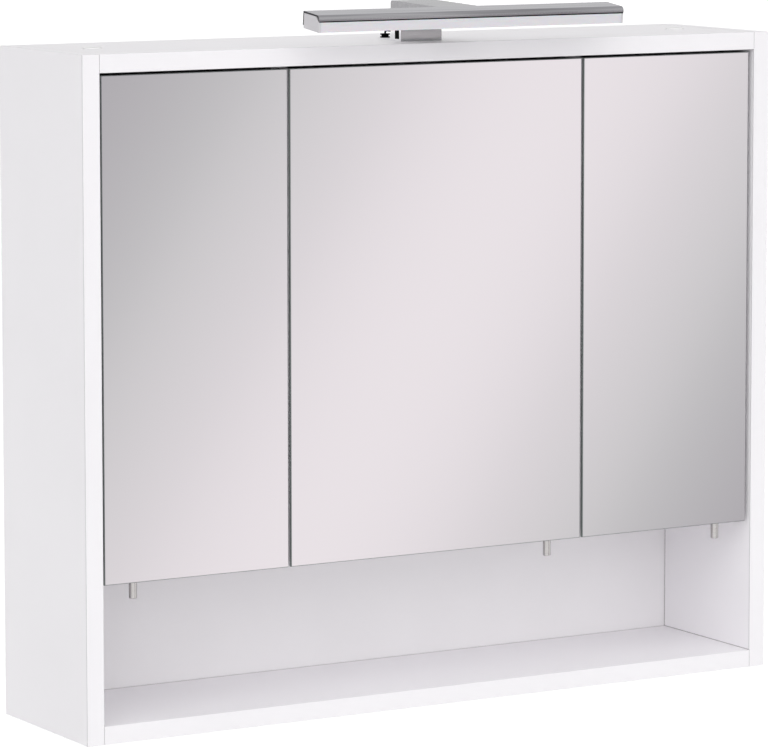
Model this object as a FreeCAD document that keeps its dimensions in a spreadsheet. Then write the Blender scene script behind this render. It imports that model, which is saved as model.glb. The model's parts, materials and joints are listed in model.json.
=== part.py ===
import FreeCAD, Part
import math
import os
import re

import Sketcher
from FreeCAD import Placement, Rotation, Vector

# A wall-hung bathroom cabinet with three mirror doors, an open niche below them and an LED lamp on top.
# X runs to the right from the middle, Y from the front to the wall (the wall plane is Y = 0), Z up.
# The origin is midway between the two hanger keyholes. All sizes are in millimetres.

sizes = {
    # carcass boards
    "width": 710,
    "height": 597,
    "depth": 163,
    "board": 16,
    "back_thick": 3,
    "back_recess": 17,
    "groove_depth": 6,
    "groove_play": 0.8,
    # doors
    "door_recess": 4,
    "mirror_thick": 3,
    "mirror_arris": 0.6,
    "door_board": 13,
    "door_height": 440,
    "door_top_gap": 2.5,
    "door_side_gap": 3.4,
    "door_mid_gap": 2.5,
    "side_door_width": 181.6,
    "door_back_gap": 1,
    "niche_lap": 2,
    "bumper_radius": 4,
    "bumper_play": 0.3,
    # pull pins
    "pull_radius": 3.5,
    "pull_length": 15.2,
    "left_pull_inset": 32,
    "middle_pull_inset": 30,
    "right_pull_inset": 28,
    "pull_stud_radius": 2,
    "pull_stud_length": 10,
    "pull_chamfer": 0.5,
    # glass shelves and their pegs
    "glass_thick": 5,
    "glass_end_play": 1.5,
    "glass_setback": 14,
    "glass_back_play": 3,
    "glass_arris": 1,
    "shelf_low_level": 138,
    "shelf_high_level": 278,
    "peg_radius": 2.5,
    "peg_bite": 6.5,
    "peg_reach": 8,
    "peg_collar_radius": 3.5,
    "peg_collar": 1.2,
    "peg_spread": 36,
    "rest_play": 0.2,
    # board joints
    "fit_play": 0.1,
    "joint_play": 0.25,
    "drill_over": 0.5,
    "cut_past": 1,
    "dowel_radius": 4,
    "dowel_bite": 10,
    "dowel_in_end": 20,
    "dowel_spread": 45,
    "divider_dowel_spread": 32,
    "cam_radius": 7.5,
    "cam_deep": 12.5,
    "cam_inset": 34,
    "cam_slot": 1.6,
    "cam_slot_length": 10.5,
    "cam_bolt_radius": 3,
    "cap_radius": 8.5,
    "cap_thick": 1,
    # hangers
    "hanger_drop": 57,
    "hanger_width": 44,
    "hanger_tall": 62,
    "hanger_thick": 2,
    "hanger_leg": 15,
    "hanger_hole_radius": 5,
    "hanger_slot": 5.4,
    "hanger_slot_rise": 14,
    "hanger_hole_inset": 25,
    "hanger_screw_pitch": 40,
    # small screws
    "screw_radius": 1.75,
    "screw_head_radius": 3.4,
    "screw_head": 2,
    "screw_bite": 9,
    # concealed hinges: places across the door from its hinged edge and in from the door's back
    "hinge_inset": 80,
    "cup_edge": 3.5,
    "cup_radius": 17.4,
    "cup_deep": 10.8,
    "cup_wall": 1,
    "flange_thick": 1.2,
    "flange_radius": 20,
    "flange_start": 7,
    "flange_wing": 28,
    "flange_wing_low": 5,
    "flange_wing_high": 15,
    "outer_fixed_across": 28.3,
    "outer_fixed_in": 16,
    "outer_door_across": 7.8,
    "outer_door_in": -3.8,
    "outer_bend_across": 13.85,
    "outer_bend_in": -6.9,
    "inner_fixed_across": 32.7,
    "inner_fixed_in": -6.9,
    "inner_door_across": 14.6,
    "inner_door_in": -6.2,
    "hinge_pin_radius": 1.4,
    "hinge_pin_play": 0.05,
    "eye_radius": 2.6,
    "link_width": 3.6,
    "outer_half": 3,
    "layer_play": 0.4,
    "inner_plate": 1.6,
    "cheek": 1.4,
    "arm_back": 4.7,
    "arm_base": 11.75,
    "arm_base_start": 30,
    "arm_base_end": 62,
    "arm_web_start": 2,
    "arm_screw_radius": 2,
    "arm_screw_inset": 10,
    "plate_thick": 2,
    "plate_half": 8.5,
    "plate_screw_pitch": 32,
    "plate_wing_past": 4,
    "plate_wing_half": 6,
    "plate_screw_bite": 6.2,
    # lamp
    "lamp_setback": 34,
    "base_width": 42.5,
    "base_front_wall": 3,
    "base_slot": 7.5,
    "base_back_wall": 7.5,
    "base_height": 10,
    "base_floor": 2,
    "base_screw_spread": 12,
    "base_screw_bite": 6,
    "arm_leg": 5,
    "arm_strap": 6.5,
    "arm_rise": 36.2,
    "arm_drop": 2.7,
    "arm_round": 2,
    "arm_inner_round": 6,
    "bar_reach": 29.5,
    "bar_rise": 33.7,
    "bar_length": 313,
    "bar_depth": 28,
    "bar_thick": 12.3,
    "bar_tilt": 6.5,
    "cover_wall": 1.4,
    "cover_lip": 5,
    "cover_round": 4,
    "diffuser_wall": 1.6,
    "lamp_play": 0.2,
    "end_cap": 2,
    "strip_width": 12,
    "strip_thick": 1.2,
    "led_pitch": 15,
    "led_size": 3,
    "led_tall": 0.8,
    # lamp lead and grommet
    "lead_radius": 0.9,
    "lead_bend": 2.7,
    "lead_clear": 0.2,
    "lead_setback": 98,
    "lead_tail": 8,
    "grommet_radius": 4.4,
    "grommet_neck": 3.3,
    "grommet_tall": 3.6,
    "grommet_flange": 1,
    # power box under the top panel
    "box_width": 110,
    "box_tall": 36,
    "box_wall": 2,
    "box_front_play": 11,
    "box_back_play": 10,
    "box_lid": 2,
    "box_screw_inset": 8,
    "box_post_radius": 3.5,
    "gland_radius": 7,
    "gland_bore": 3.5,
    "gland_nut_radius": 9.5,
    "gland_nut": 4,
    "gland_proud": 9,
    "gland_play": 0.3,
    # rocker switch
    "switch_width": 12,
    "switch_tall": 18,
    "switch_frame_rim": 2.5,
    "switch_frame_proud": 1.2,
    "switch_wall": 1.2,
    "switch_deep": 9,
    "switch_side_gap": 13,
    "rocker_play": 0.5,
    "rocker_pin_radius": 1.5,
    "rocker_pin_in": 2.5,
    "rocker_throw": 6,
    "rocker_crown": 4.5,
}

doc = FreeCAD.newDocument("MirrorCabinet")
sheet = doc.addObject("Spreadsheet::Sheet", "Sizes")
for row, (alias, size) in enumerate(sizes.items(), 1):
    sheet.set(f"A{row}", alias)
    sheet.set(f"B{row}", str(size))
    sheet.setAlias(f"B{row}", alias)
doc.recompute()

size_words = re.compile(r"\b(" + "|".join(sizes) + r")\b")
nodes = []


def tied(formula):
    return size_words.sub(r"Sizes.\1", str(formula))


def value(formula):
    return float(sheet.evalExpression(tied(formula)))


def bind(thing, prop, formula):
    thing.setExpression(prop, tied(formula))


def keep(piece, label):
    piece.Label = label
    nodes.append(piece)
    return piece


def box(x, y, z):
    piece = doc.addObject("Part::Box", "block")
    for prop, axis, (low, high) in zip(("Length", "Width", "Height"), "xyz", (x, y, z)):
        bind(piece, prop, f"({high}) - ({low})")
        bind(piece, f"Placement.Base.{axis}", low)
    return piece


along = {"x": Rotation(Vector(0, 1, 0), 90), "y": Rotation(Vector(1, 0, 0), -90), "z": Rotation()}


def rod(axis, radius, low, high, first, second):
    # a cylinder along one axis, centred at the two other coordinates
    piece = doc.addObject("Part::Cylinder", "rod")
    piece.Placement = Placement(Vector(), along[axis])
    bind(piece, "Radius", radius)
    bind(piece, "Height", f"({high}) - ({low})")
    centre = dict(zip([name for name in "xyz" if name != axis], (first, second)))
    centre[axis] = low
    for name in "xyz":
        bind(piece, f"Placement.Base.{name}", centre[name])
    return piece


def bundle(pieces):
    together = doc.addObject("Part::Compound", "bundle")
    together.Links = pieces
    return together


def cut(piece, tools):
    result = doc.addObject("Part::Cut", "cut")
    result.Base = piece
    result.Tool = bundle(tools)
    return result


def fuse(pieces):
    result = doc.addObject("Part::MultiFuse", "fused")
    result.Shapes = pieces
    return result


def outlined(name, plane, points, low="0"):
    # a body with one sketch: points are pairs of formulas in the named origin plane
    body = doc.addObject("PartDesign::Body", name)
    sketch = body.newObject("Sketcher::SketchObject", name + "_outline")
    support = [item for item in body.Origin.OriginFeatures if item.Role == plane][0]
    sketch.AttachmentSupport = (support, [""])
    sketch.MapMode = "FlatFace"
    bind(sketch, "AttachmentOffset.Base.z", low)
    corners = [Vector(value(a), value(b), 0) for a, b in points]
    count = len(corners)
    for i in range(count):
        sketch.addGeometry(Part.LineSegment(corners[i], corners[(i + 1) % count]))
    for i in range(count):
        sketch.addConstraint(Sketcher.Constraint("Coincident", i, 2, (i + 1) % count, 1))
    for i, formulas in enumerate(points):
        for kind, formula in zip(("DistanceX", "DistanceY"), formulas):
            place = Sketcher.Constraint(kind, -1, 1, i, 1, value(formula))
            sketch.setExpression(f"Constraints[{sketch.addConstraint(place)}]", tied(formula))
    return body, sketch


def profile(name, plane, points, low, high):
    body, sketch = outlined(name, plane, points, low)
    pad = body.newObject("PartDesign::Pad", name + "_pad")
    pad.Profile = sketch
    bind(pad, "Length", f"({high}) - ({low})")
    doc.recompute()
    return body


def turned(name, plane, points):
    body, sketch = outlined(name, plane, points)
    revolution = body.newObject("PartDesign::Revolution", name + "_turned")
    revolution.Profile = sketch
    revolution.ReferenceAxis = (sketch, ["V_Axis"])
    revolution.Angle = 360
    doc.recompute()
    return body


def rounded(body, corners, radius):
    # fillets the padded edges that stand on the given outline corners
    base = body.Tip
    flat = [item for item in body.Group if item.TypeId == "Sketcher::SketchObject"][0].Placement
    wanted = [flat.multVec(Vector(value(a), value(b), 0)) for a, b in corners]
    normal = flat.Rotation.multVec(Vector(0, 0, 1))
    edges = []
    for i, edge in enumerate(base.Shape.Edges, 1):
        run = edge.Vertexes[-1].Point - edge.Vertexes[0].Point
        if len(edge.Vertexes) < 2 or run.cross(normal).Length > 1e-6:
            continue
        if any((edge.Vertexes[0].Point - spot).cross(normal).Length < 1e-6 for spot in wanted):
            edges.append(f"Edge{i}")
    fillet = body.newObject("PartDesign::Fillet", body.Name + "_round")
    fillet.Base = (base, edges)
    bind(fillet, "Radius", radius)
    doc.recompute()
    return body


def place(piece, x, y, z, axis=Vector(0, 0, 1), angle=None):
    piece.Placement = Placement(Vector(), Rotation(axis, value(angle) if angle else 0))
    for name, formula in zip("xyz", (x, y, z)):
        bind(piece, f"Placement.Base.{name}", formula)
    if angle:
        bind(piece, "Placement.Rotation.Angle", angle)
    return piece


def solid(shape):
    # a finished shape as a document object
    piece = doc.addObject("Part::Feature", "shape")
    piece.Shape = shape
    return piece


def copies(shape, placements):
    return solid(Part.Compound([shape.transformed(spot.toMatrix()) for spot in placements]))


def span(side, near, far):
    # an X range between two distances from the middle, on one side
    return (near, far) if side > 0 else (f"-({far})", f"-({near})")


def out(side, distance):
    return f"{side} * ({distance})"


# Levels, depths and widths that several pieces share
roof = "hanger_drop"
roof_low = "(hanger_drop - board)"
floor = "(hanger_drop - height)"
floor_top = f"({floor} + board)"
door_top = f"({roof_low} - door_top_gap)"
door_low = f"({door_top} - door_height)"
shelf_low = f"({door_low} + niche_lap)"
shelf_top = f"({shelf_low} + board)"
front = "-depth"
door_front = "(door_recess - depth)"
mirror_back = f"({door_front} + mirror_thick)"
door_back = f"({mirror_back} + door_board)"
inner_front = f"({door_back} + door_back_gap)"
back_front = "-(back_recess + back_thick)"
middle_y = "(-depth / 2)"
inside = "(width / 2 - board)"
divider_x = f"({inside} - door_side_gap - side_door_width - door_mid_gap / 2)"
divider_near = f"({divider_x} - board / 2)"
divider_far = f"({divider_x} + board / 2)"
divider_y = f"(({inner_front} + {back_front}) / 2)"
end_mid = {"top": f"({roof} - board / 2)", "bottom": f"({floor} + board / 2)"}
shelf_mid = f"({shelf_low} + board / 2)"
peg_levels = [f"({shelf_top} + shelf_low_level)", f"({shelf_top} + shelf_high_level)"]
peg_depths = [f"({divider_y} - peg_spread)", f"({divider_y} + peg_spread)"]
groove_y = (f"{back_front} - groove_play / 2", "groove_play / 2 - back_recess")
sides = {"left": -1, "right": 1}


def bore(axis, radius, low, high, first, second):
    return rod(axis, f"{radius} + fit_play", low, high, first, second)


def end_dowels(side, level, depths):
    # where the dowels of a board end run into a side panel
    return [(side, f"{inside} - dowel_in_end", f"{inside} + dowel_bite", y, level) for y in depths]


joint_depths = [f"({middle_y} - dowel_spread)", f"({middle_y} + dowel_spread)"]
shelf_depths = [f"({divider_y} - divider_dowel_spread)", f"({divider_y} + divider_dowel_spread)"]
side_dowels = {name: [] for name in ("top", "bottom", "shelf")}
for side in sides.values():
    side_dowels["top"] += end_dowels(side, end_mid["top"], joint_depths)
    side_dowels["bottom"] += end_dowels(side, end_mid["bottom"], joint_depths)
    side_dowels["shelf"] += end_dowels(side, shelf_mid, shelf_depths)
upright_dowels = {
    "top": (f"{roof_low} - dowel_in_end", f"{roof_low} + dowel_bite"),
    "shelf": (f"{shelf_top} - dowel_bite", f"{shelf_top} + dowel_in_end"),
}


def side_dowel_tools(names, side=None):
    chosen = [item for name in names for item in side_dowels[name] if side in (None, item[0])]
    tools = []
    for way, near, far, y, z in chosen:
        low, high = span(way, f"{near} - drill_over", f"{far} + drill_over")
        tools.append(bore("x", "dowel_radius", low, high, y, z))
    return tools


def upright_dowel_tools(name, side=None):
    low, high = upright_dowels[name]
    ends = (f"{low} - drill_over", f"{high} + drill_over")
    ways = sides.values() if side is None else [side]
    return [bore("z", "dowel_radius", *ends, out(way, divider_x), y) for way in ways for y in shelf_depths]


def peg_tools(side, wall, way):
    # bores for the shelf pegs in one face: wall is its distance from the middle, way points into the board
    deep = f"{wall} + {way} * (peg_bite + drill_over)"
    low, high = (wall, deep)[::way]
    spots = [(y, z) for y in peg_depths for z in peg_levels]
    return [bore("x", "peg_radius", *span(side, low, high), y, z) for y, z in spots]


# Side panels
hanger_screw_levels = ["(hanger_screw_pitch / 2)", "(-hanger_screw_pitch / 2)"]
hanger_screw_y = "(-hanger_leg / 2 - hanger_thick / 2)"
for name, side in sides.items():
    panel = box(span(side, inside, "width / 2"), (front, "0"), (floor, roof))
    groove_z = (f"{floor_top} - groove_depth", f"{roof_low} + groove_depth")
    tools = [box(span(side, f"{inside} - cut_past", f"{inside} + groove_depth"), groove_y, groove_z)]
    tools += side_dowel_tools(["top", "bottom", "shelf"], side)
    tools += peg_tools(side, inside, 1)
    for level in end_mid.values():
        bolt_way = span(side, inside, f"{inside} + dowel_bite")
        tools.append(bore("x", "cam_bolt_radius", *bolt_way, middle_y, level))
    for level in hanger_screw_levels:
        pilot = span(side, inside, f"{inside} + screw_bite + drill_over")
        tools.append(bore("x", "screw_radius", *pilot, hanger_screw_y, level))
    keep(cut(panel, tools), f"{name}_side_panel")

# Lamp and power box places that the top panel is drilled for
base_front_y = "(lamp_setback - depth)"
base_deep = "(base_front_wall + base_slot + base_back_wall)"
base_back_y = f"({base_front_y} + {base_deep})"
base_screw_y = f"({base_back_y} - base_back_wall / 2)"
lead_y = "(lead_setback - depth)"
box_rear = f"({back_front} - box_back_play)"
box_front = f"({base_screw_y} + screw_head_radius + box_front_play)"
box_half = "(box_width / 2)"
box_low = f"({roof_low} - box_tall)"
box_screws = [
    (out(side, f"{box_half} - box_screw_inset"), y)
    for side in sides.values()
    for y in (f"({box_front} + box_screw_inset)", f"({box_rear} - box_screw_inset)")
]

# Top and bottom panels, held between the sides by a cam and two dowels at each end
inner_span = (f"joint_play - {inside}", f"{inside} - joint_play")
cam_x = f"({inside} - cam_inset)"
cam_ends = {
    "top": (f"({roof} - cam_deep)", roof),
    "bottom": (floor, f"({floor} + cam_deep)"),
}
for name in ("top", "bottom"):
    low, high = (roof_low, roof) if name == "top" else (floor, floor_top)
    panel = box(inner_span, (front, "0"), (low, high))
    if name == "top":
        groove_z = (f"{low} - cut_past", f"{low} + groove_depth")
    else:
        groove_z = (f"{high} - groove_depth", f"{high} + cut_past")
    tools = [box((f"-{inside} - cut_past", f"{inside} + cut_past"), groove_y, groove_z)]
    tools += side_dowel_tools([name])
    for side in sides.values():
        cam_bore = bore("z", "cam_radius", *cam_ends[name], out(side, cam_x), middle_y)
        bolt_way = span(side, cam_x, inside)
        bolt_bore = bore("x", "cam_bolt_radius", *bolt_way, middle_y, end_mid[name])
        tools.append(fuse([cam_bore, bolt_bore]))
    if name == "top":
        tools += upright_dowel_tools("top")
        tools.append(bore("z", "grommet_neck", low, high, "0", lead_y))
        for side in sides.values():
            tools.append(bore("z", "screw_radius", low, high, out(side, "base_screw_spread"), base_screw_y))
        for x, y in box_screws:
            tools.append(bore("z", "screw_radius", low, f"{low} + screw_bite + drill_over", x, y))
    keep(cut(panel, tools), f"{name}_panel")

# Fixed shelf over the niche and the two dividers on it
shelf = box(inner_span, (inner_front, back_front), (shelf_low, shelf_top))
keep(cut(shelf, side_dowel_tools(["shelf"]) + upright_dowel_tools("shelf")), "niche_shelf")

hinge_levels = [f"({door_low} + hinge_inset)", f"({door_top} - hinge_inset)"]
plate_mid_in = "((arm_base_start + arm_base_end) / 2)"
plate_face = "((board - door_mid_gap) / 2)"
plate_seat = f"({plate_face} + plate_thick)"
arm_screw_in = "(arm_base_end - arm_screw_inset)"
plate_screw_y = f"({door_back} + {plate_mid_in})"
hinged_faces = {"left": (-1, 1), "right": (1,)}
for name, side in sides.items():
    divider = box(span(side, divider_near, divider_far), (inner_front, back_front), (shelf_top, roof_low))
    tools = upright_dowel_tools("top", side) + upright_dowel_tools("shelf", side)
    tools += peg_tools(side, divider_near, 1) + peg_tools(side, divider_far, -1)
    for way in hinged_faces[name]:
        face = f"({out(side, divider_x)} + {way} * board / 2)"
        deep = f"({face} - {way} * (plate_screw_bite + drill_over))"
        ends = (deep, face) if way > 0 else (face, deep)
        for level in hinge_levels:
            for step in (-1, 1):
                screw_z = f"({level} + {step} * plate_screw_pitch / 2)"
                tools.append(bore("x", "screw_radius", *ends, plate_screw_y, screw_z))
    keep(cut(divider, tools), f"{name}_divider")

# Back panel in the grooves, with the hole for the mains gland
tuck = "(groove_depth - groove_play)"
gland_z = f"({roof_low} - box_tall / 2)"
back = box(
    (f"-{inside} - {tuck}", f"{inside} + {tuck}"),
    (back_front, "-back_recess"),
    (f"{floor_top} - {tuck}", f"{roof_low} + {tuck}"),
)
gland_way = (f"{back_front} - cut_past", "cut_past - back_recess")
gland_hole = rod("y", "gland_radius + gland_play", *gland_way, "0", gland_z)
keep(cut(back, [gland_hole]), "back_panel")

# Wood dowels, cam bolts, cam discs and their cover caps
dowels = []
for way, near, far, y, z in sum(side_dowels.values(), []):
    dowels.append(rod("x", "dowel_radius", *span(way, near, far), y, z))
for low, high in upright_dowels.values():
    for side in sides.values():
        dowels += [rod("z", "dowel_radius", low, high, out(side, divider_x), y) for y in shelf_depths]
keep(bundle(dowels), "wood_dowels")

bolts = []
discs = []
caps = []
for name, (low, high) in cam_ends.items():
    for side in sides.values():
        bolt_way = span(side, f"{cam_x} + cam_bolt_radius / 2", f"{inside} + dowel_bite - drill_over")
        bolts.append(rod("x", "cam_bolt_radius", *bolt_way, middle_y, end_mid[name]))
        disc = rod("z", "cam_radius", low, high, out(side, cam_x), middle_y)
        mouth_way = span(side, f"{cam_x} - cam_bolt_radius", f"{cam_x} + cam_radius + cut_past")
        mouth = bore("x", "cam_bolt_radius", *mouth_way, middle_y, end_mid[name])
        slot_x = (f"{out(side, cam_x)} - cam_slot_length / 2", f"{out(side, cam_x)} + cam_slot_length / 2")
        slot_y = (f"{middle_y} - cam_slot / 2", f"{middle_y} + cam_slot / 2")
        if name == "top":
            slot_z = (f"{high} - cam_slot", f"{high} + cut_past")
            cap_z = (high, f"{high} + cap_thick")
        else:
            slot_z = (f"{low} - cut_past", f"{low} + cam_slot")
            cap_z = (f"{low} - cap_thick", low)
        discs.append(cut(disc, [mouth, box(slot_x, slot_y, slot_z)]))
        caps.append(rod("z", "cap_radius", *cap_z, out(side, cam_x), middle_y))
keep(bundle(bolts), "cam_bolts")
keep(bundle(discs), "cam_discs")
keep(bundle(caps), "cam_cover_caps")

# Hanger brackets: a keyhole plate in the wall plane, bent round to a leg on the side panel
hole_x = f"({inside} - hanger_hole_inset)"
hanger_z = ("-hanger_tall / 2", "hanger_tall / 2")
keyhole_y = ("-hanger_thick - cut_past", "cut_past")
slot_top = "(hanger_slot_rise - hanger_slot / 2)"
hanger_screws = []
for name, side in sides.items():
    leg_x = f"({inside} - hanger_thick)"
    bracket = fuse([
        box(span(side, f"{inside} - hanger_width", inside), ("-hanger_thick", "0"), hanger_z),
        box(span(side, leg_x, inside), ("-hanger_leg", "0"), hanger_z),
    ])
    slot_x = (f"{out(side, hole_x)} - hanger_slot / 2", f"{out(side, hole_x)} + hanger_slot / 2")
    keyhole = fuse([
        rod("y", "hanger_hole_radius", *keyhole_y, out(side, hole_x), "0"),
        box(slot_x, keyhole_y, ("0", slot_top)),
        rod("y", "hanger_slot / 2", *keyhole_y, out(side, hole_x), slot_top),
    ])
    tools = [keyhole]
    for level in hanger_screw_levels:
        head_way = span(side, f"{leg_x} - screw_head", leg_x)
        shank_way = span(side, leg_x, f"{inside} + screw_bite")
        tools.append(bore("x", "screw_radius", *shank_way, hanger_screw_y, level))
        head = rod("x", "screw_head_radius", *head_way, hanger_screw_y, level)
        shank = rod("x", "screw_radius", *shank_way, hanger_screw_y, level)
        hanger_screws.append(fuse([head, shank]))
    keep(cut(bracket, tools), f"{name}_hanger_bracket")
keep(bundle(hanger_screws), "hanger_screws")

# Glass shelves, two to a compartment, on plug-in pegs
compartments = {
    "left": (f"-{inside}", f"-{divider_far}"),
    "middle": (f"-{divider_near}", divider_near),
    "right": (divider_far, inside),
}
glass_y = (f"{inner_front} + glass_setback", f"{back_front} - glass_back_play")
pegs = []
for name, (low, high) in compartments.items():
    panes = []
    glass_x = (f"{low} + glass_end_play", f"{high} - glass_end_play")
    for level in peg_levels:
        glass_low = f"({level} + peg_radius + rest_play)"
        pane = box(glass_x, glass_y, (glass_low, f"{glass_low} + glass_thick"))
        doc.recompute()
        arris = doc.addObject("Part::Chamfer", "arris")
        arris.Base = pane
        front_y = value(glass_y[0])
        long_edges = [
            i for i, edge in enumerate(pane.Shape.Edges, 1)
            if edge.Length > value("glass_thick")
            and all(abs(end.Y - front_y) < 1e-6 for end in edge.Vertexes)
        ]
        arris.Edges = [(i, value("glass_arris"), value("glass_arris")) for i in long_edges]
        panes.append(arris)
        for y in peg_depths:
            for wall, way in ((low, 1), (high, -1)):
                pin = (f"({wall} - {way} * peg_bite)", f"({wall} + {way} * peg_reach)")
                collar = (wall, f"({wall} + {way} * peg_collar)")
                pegs.append(fuse([
                    rod("x", "peg_radius", *pin[::way], y, level),
                    rod("x", "peg_collar_radius", *collar[::way], y, level),
                ]))
    keep(bundle(panes), f"{name}_glass_shelves")
keep(bundle(pegs), "shelf_pegs")

# Doors: carrier board with hinge bores, mirror on its face, pull pin under its free end
free_edge = f"({inside} - door_side_gap)"
middle_edge = f"({divider_x} - door_mid_gap / 2)"
hinged_edge = f"({divider_x} + door_mid_gap / 2)"
doors = {
    "left": {"low": f"-{free_edge}", "high": f"-{hinged_edge}", "hinge": f"-{hinged_edge}", "way": -1},
    "middle": {"low": f"-{middle_edge}", "high": middle_edge, "hinge": f"-{middle_edge}", "way": 1},
    "right": {"low": hinged_edge, "high": free_edge, "hinge": hinged_edge, "way": 1},
}
cup_across = "(cup_edge + cup_radius)"
pull_y = f"({mirror_back} + door_board / 2)"


def pull_spot(name):
    # each pull hangs under its door's free end
    door = doors[name]
    return f"({door['high'] if door['way'] > 0 else door['low']} - {door['way']} * {name}_pull_inset)"


for name, door in doors.items():
    x = (door["low"], door["high"])
    leaf = box(x, (mirror_back, door_back), (door_low, door_top))
    cup_x = f"({door['hinge']} + {door['way']} * {cup_across})"
    pull_x = pull_spot(name)
    tools = [
        bore("y", "cup_radius", f"{door_back} - cup_deep - fit_play", f"{door_back} + cut_past", cup_x, level)
        for level in hinge_levels
    ]
    stud_top = f"{door_low} + pull_stud_length + drill_over"
    tools.append(bore("z", "pull_stud_radius", door_low, stud_top, pull_x, pull_y))
    keep(cut(leaf, tools), f"{name}_door_board")

    glass = box(x, (door_front, mirror_back), (door_low, door_top))
    doc.recompute()
    arris = doc.addObject("Part::Chamfer", "arris")
    arris.Base = glass
    face_y = value(door_front)
    rim = [
        i for i, edge in enumerate(glass.Shape.Edges, 1)
        if all(abs(end.Y - face_y) < 1e-6 for end in edge.Vertexes)
    ]
    arris.Edges = [(i, value("mirror_arris"), value("mirror_arris")) for i in rim]
    keep(arris, f"{name}_mirror")

    pin = turned(
        f"{name}_pull", "XZ_Plane",
        [
            ("0", "pull_stud_length"),
            ("0", "-pull_length"),
            ("pull_radius - pull_chamfer", "-pull_length"),
            ("pull_radius", "pull_chamfer - pull_length"),
            ("pull_radius", "0"),
            ("pull_stud_radius", "0"),
            ("pull_stud_radius", "pull_stud_length"),
        ],
    )
    keep(place(pin, pull_x, pull_y, door_low), f"{name}_door_pull")

# Door bumpers on the niche shelf's front edge, behind the doors' free ends
bumpers = []
for name in doors:
    bumper_way = (f"{door_back} + bumper_play", inner_front)
    bumpers.append(rod("y", "bumper_radius", *bumper_way, pull_spot(name), shelf_mid))
keep(bundle(bumpers), "door_bumpers")


# Concealed hinges. Each piece is drawn once, across the door from its hinged edge and in from the door's
# back, about the hinge's own middle level, and is then copied to the two hinges of each door.
def spot(across, inward):
    return Vector(value(across), value(inward), 0)


outer_fixed = spot("outer_fixed_across", "outer_fixed_in")
outer_door = spot("outer_door_across", "outer_door_in")
outer_bend = spot("outer_bend_across", "outer_bend_in")
inner_fixed = spot("inner_fixed_across", "inner_fixed_in")
inner_door = spot("inner_door_across", "inner_door_in")
pin_radius = value("hinge_pin_radius")
pin_bore = value("hinge_pin_radius + hinge_pin_play")
eye = value("eye_radius")
outer_half = value("outer_half")
inner_low = value("outer_half + layer_play")
inner_high = value("outer_half + layer_play + inner_plate")
cheek_low = value("outer_half + 2 * layer_play + inner_plate")
cheek_high = value("outer_half + 2 * layer_play + inner_plate + cheek")


def upright(centre, radius, low, high):
    return Part.makeCylinder(radius, high - low, centre + Vector(0, 0, low))


def slab(points, low, high):
    ring = [point + Vector(0, 0, low) for point in points]
    return Part.Face(Part.makePolygon(ring + ring[:1])).extrude(Vector(0, 0, high - low))


def strut(start, end, low, high):
    # a flat bar of the links' width between two pivots
    side = (end - start).cross(Vector(0, 0, 1)).normalize() * value("link_width / 2")
    return slab([start + side, end + side, end - side, start - side], low, high)


def joined(shapes):
    return shapes[0].multiFuse(shapes[1:]).removeSplitter()


def outer_link():
    half_bend = value("link_width / 2")
    body = joined([
        strut(outer_door, outer_bend, -outer_half, outer_half),
        strut(outer_bend, outer_fixed, -outer_half, outer_half),
        upright(outer_bend, half_bend, -outer_half, outer_half),
        upright(outer_door, eye, -outer_half, outer_half),
        upright(outer_fixed, eye, -inner_high, inner_high),
    ])
    for centre in (outer_door, outer_fixed):
        body = body.cut(upright(centre, pin_bore, -inner_high, inner_high))
    return body


def inner_link():
    parts = [upright(inner_fixed, eye, -inner_high, inner_high)]
    for low, high in ((-inner_high, -inner_low), (inner_low, inner_high)):
        parts.append(strut(inner_fixed, inner_door, low, high))
        parts.append(upright(inner_door, eye, low, high))
    parts.append(upright(inner_door, pin_radius, -cheek_high, -inner_low))
    parts.append(upright(inner_door, pin_radius, inner_low, cheek_high))
    return joined(parts).cut(upright(inner_fixed, pin_bore, -inner_high, inner_high))


def crosswise(radius, low, high, inward, level):
    return Part.makeCylinder(radius, high - low, Vector(low, inward, level), Vector(1, 0, 0))


def arm_screw_hole():
    # the screw that holds the arm down on its plate passes through both
    return crosswise(value("arm_screw_radius + fit_play"), 0, 2 * value("arm_base"), value(arm_screw_in), 0)


def hinge_arm():
    seat = value(plate_seat)
    base_far = seat + value("arm_base")
    base_start = value("arm_base_start")
    base_end = value("arm_base_end")
    knee = outer_fixed + Vector(value("arm_back"), value("arm_back"), 0)
    web = value("cheek")
    web_start = value("arm_web_start")
    heel = Vector(base_far, base_start + value("arm_back"), 0)
    tip_right = inner_fixed + Vector(eye, 0, 0)
    outline = [
        inner_fixed - Vector(eye, 0, 0),
        tip_right,
        knee,
        heel,
        Vector(base_far, base_end, 0),
        Vector(seat, base_end, 0),
        Vector(seat, base_start, 0),
        outer_fixed - Vector(eye, 0, 0),
    ]
    tip = upright(inner_fixed, eye, -cheek_high, cheek_high)
    body = joined([slab(outline, -cheek_high, cheek_high), tip])
    share = (web_start - tip_right.y) / (knee.y - tip_right.y)
    web_foot = tip_right + (knee - tip_right) * share
    past = 2 * eye
    hollow = [
        Vector(seat - past, inner_fixed.y - past, 0),
        Vector(tip_right.x + past, inner_fixed.y - past, 0),
        Vector(tip_right.x + past, web_start, 0),
        web_foot - Vector(web, 0, 0),
        knee - Vector(web, web / 2, 0),
        heel - Vector(web, web / 2, 0),
        Vector(base_far - web, base_end + past, 0),
        Vector(seat - past, base_end + past, 0),
    ]
    body = body.cut(slab(hollow, -cheek_low, cheek_low)).cut(arm_screw_hole())
    pins = [upright(centre, pin_radius, -cheek_high, cheek_high) for centre in (outer_fixed, inner_fixed)]
    return joined([body] + pins)


def turned_in(radius, start, end, across):
    # a disc that lies flat on the door's back
    return Part.makeCylinder(radius, end - start, Vector(across, start, 0), Vector(0, 1, 0))


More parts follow.
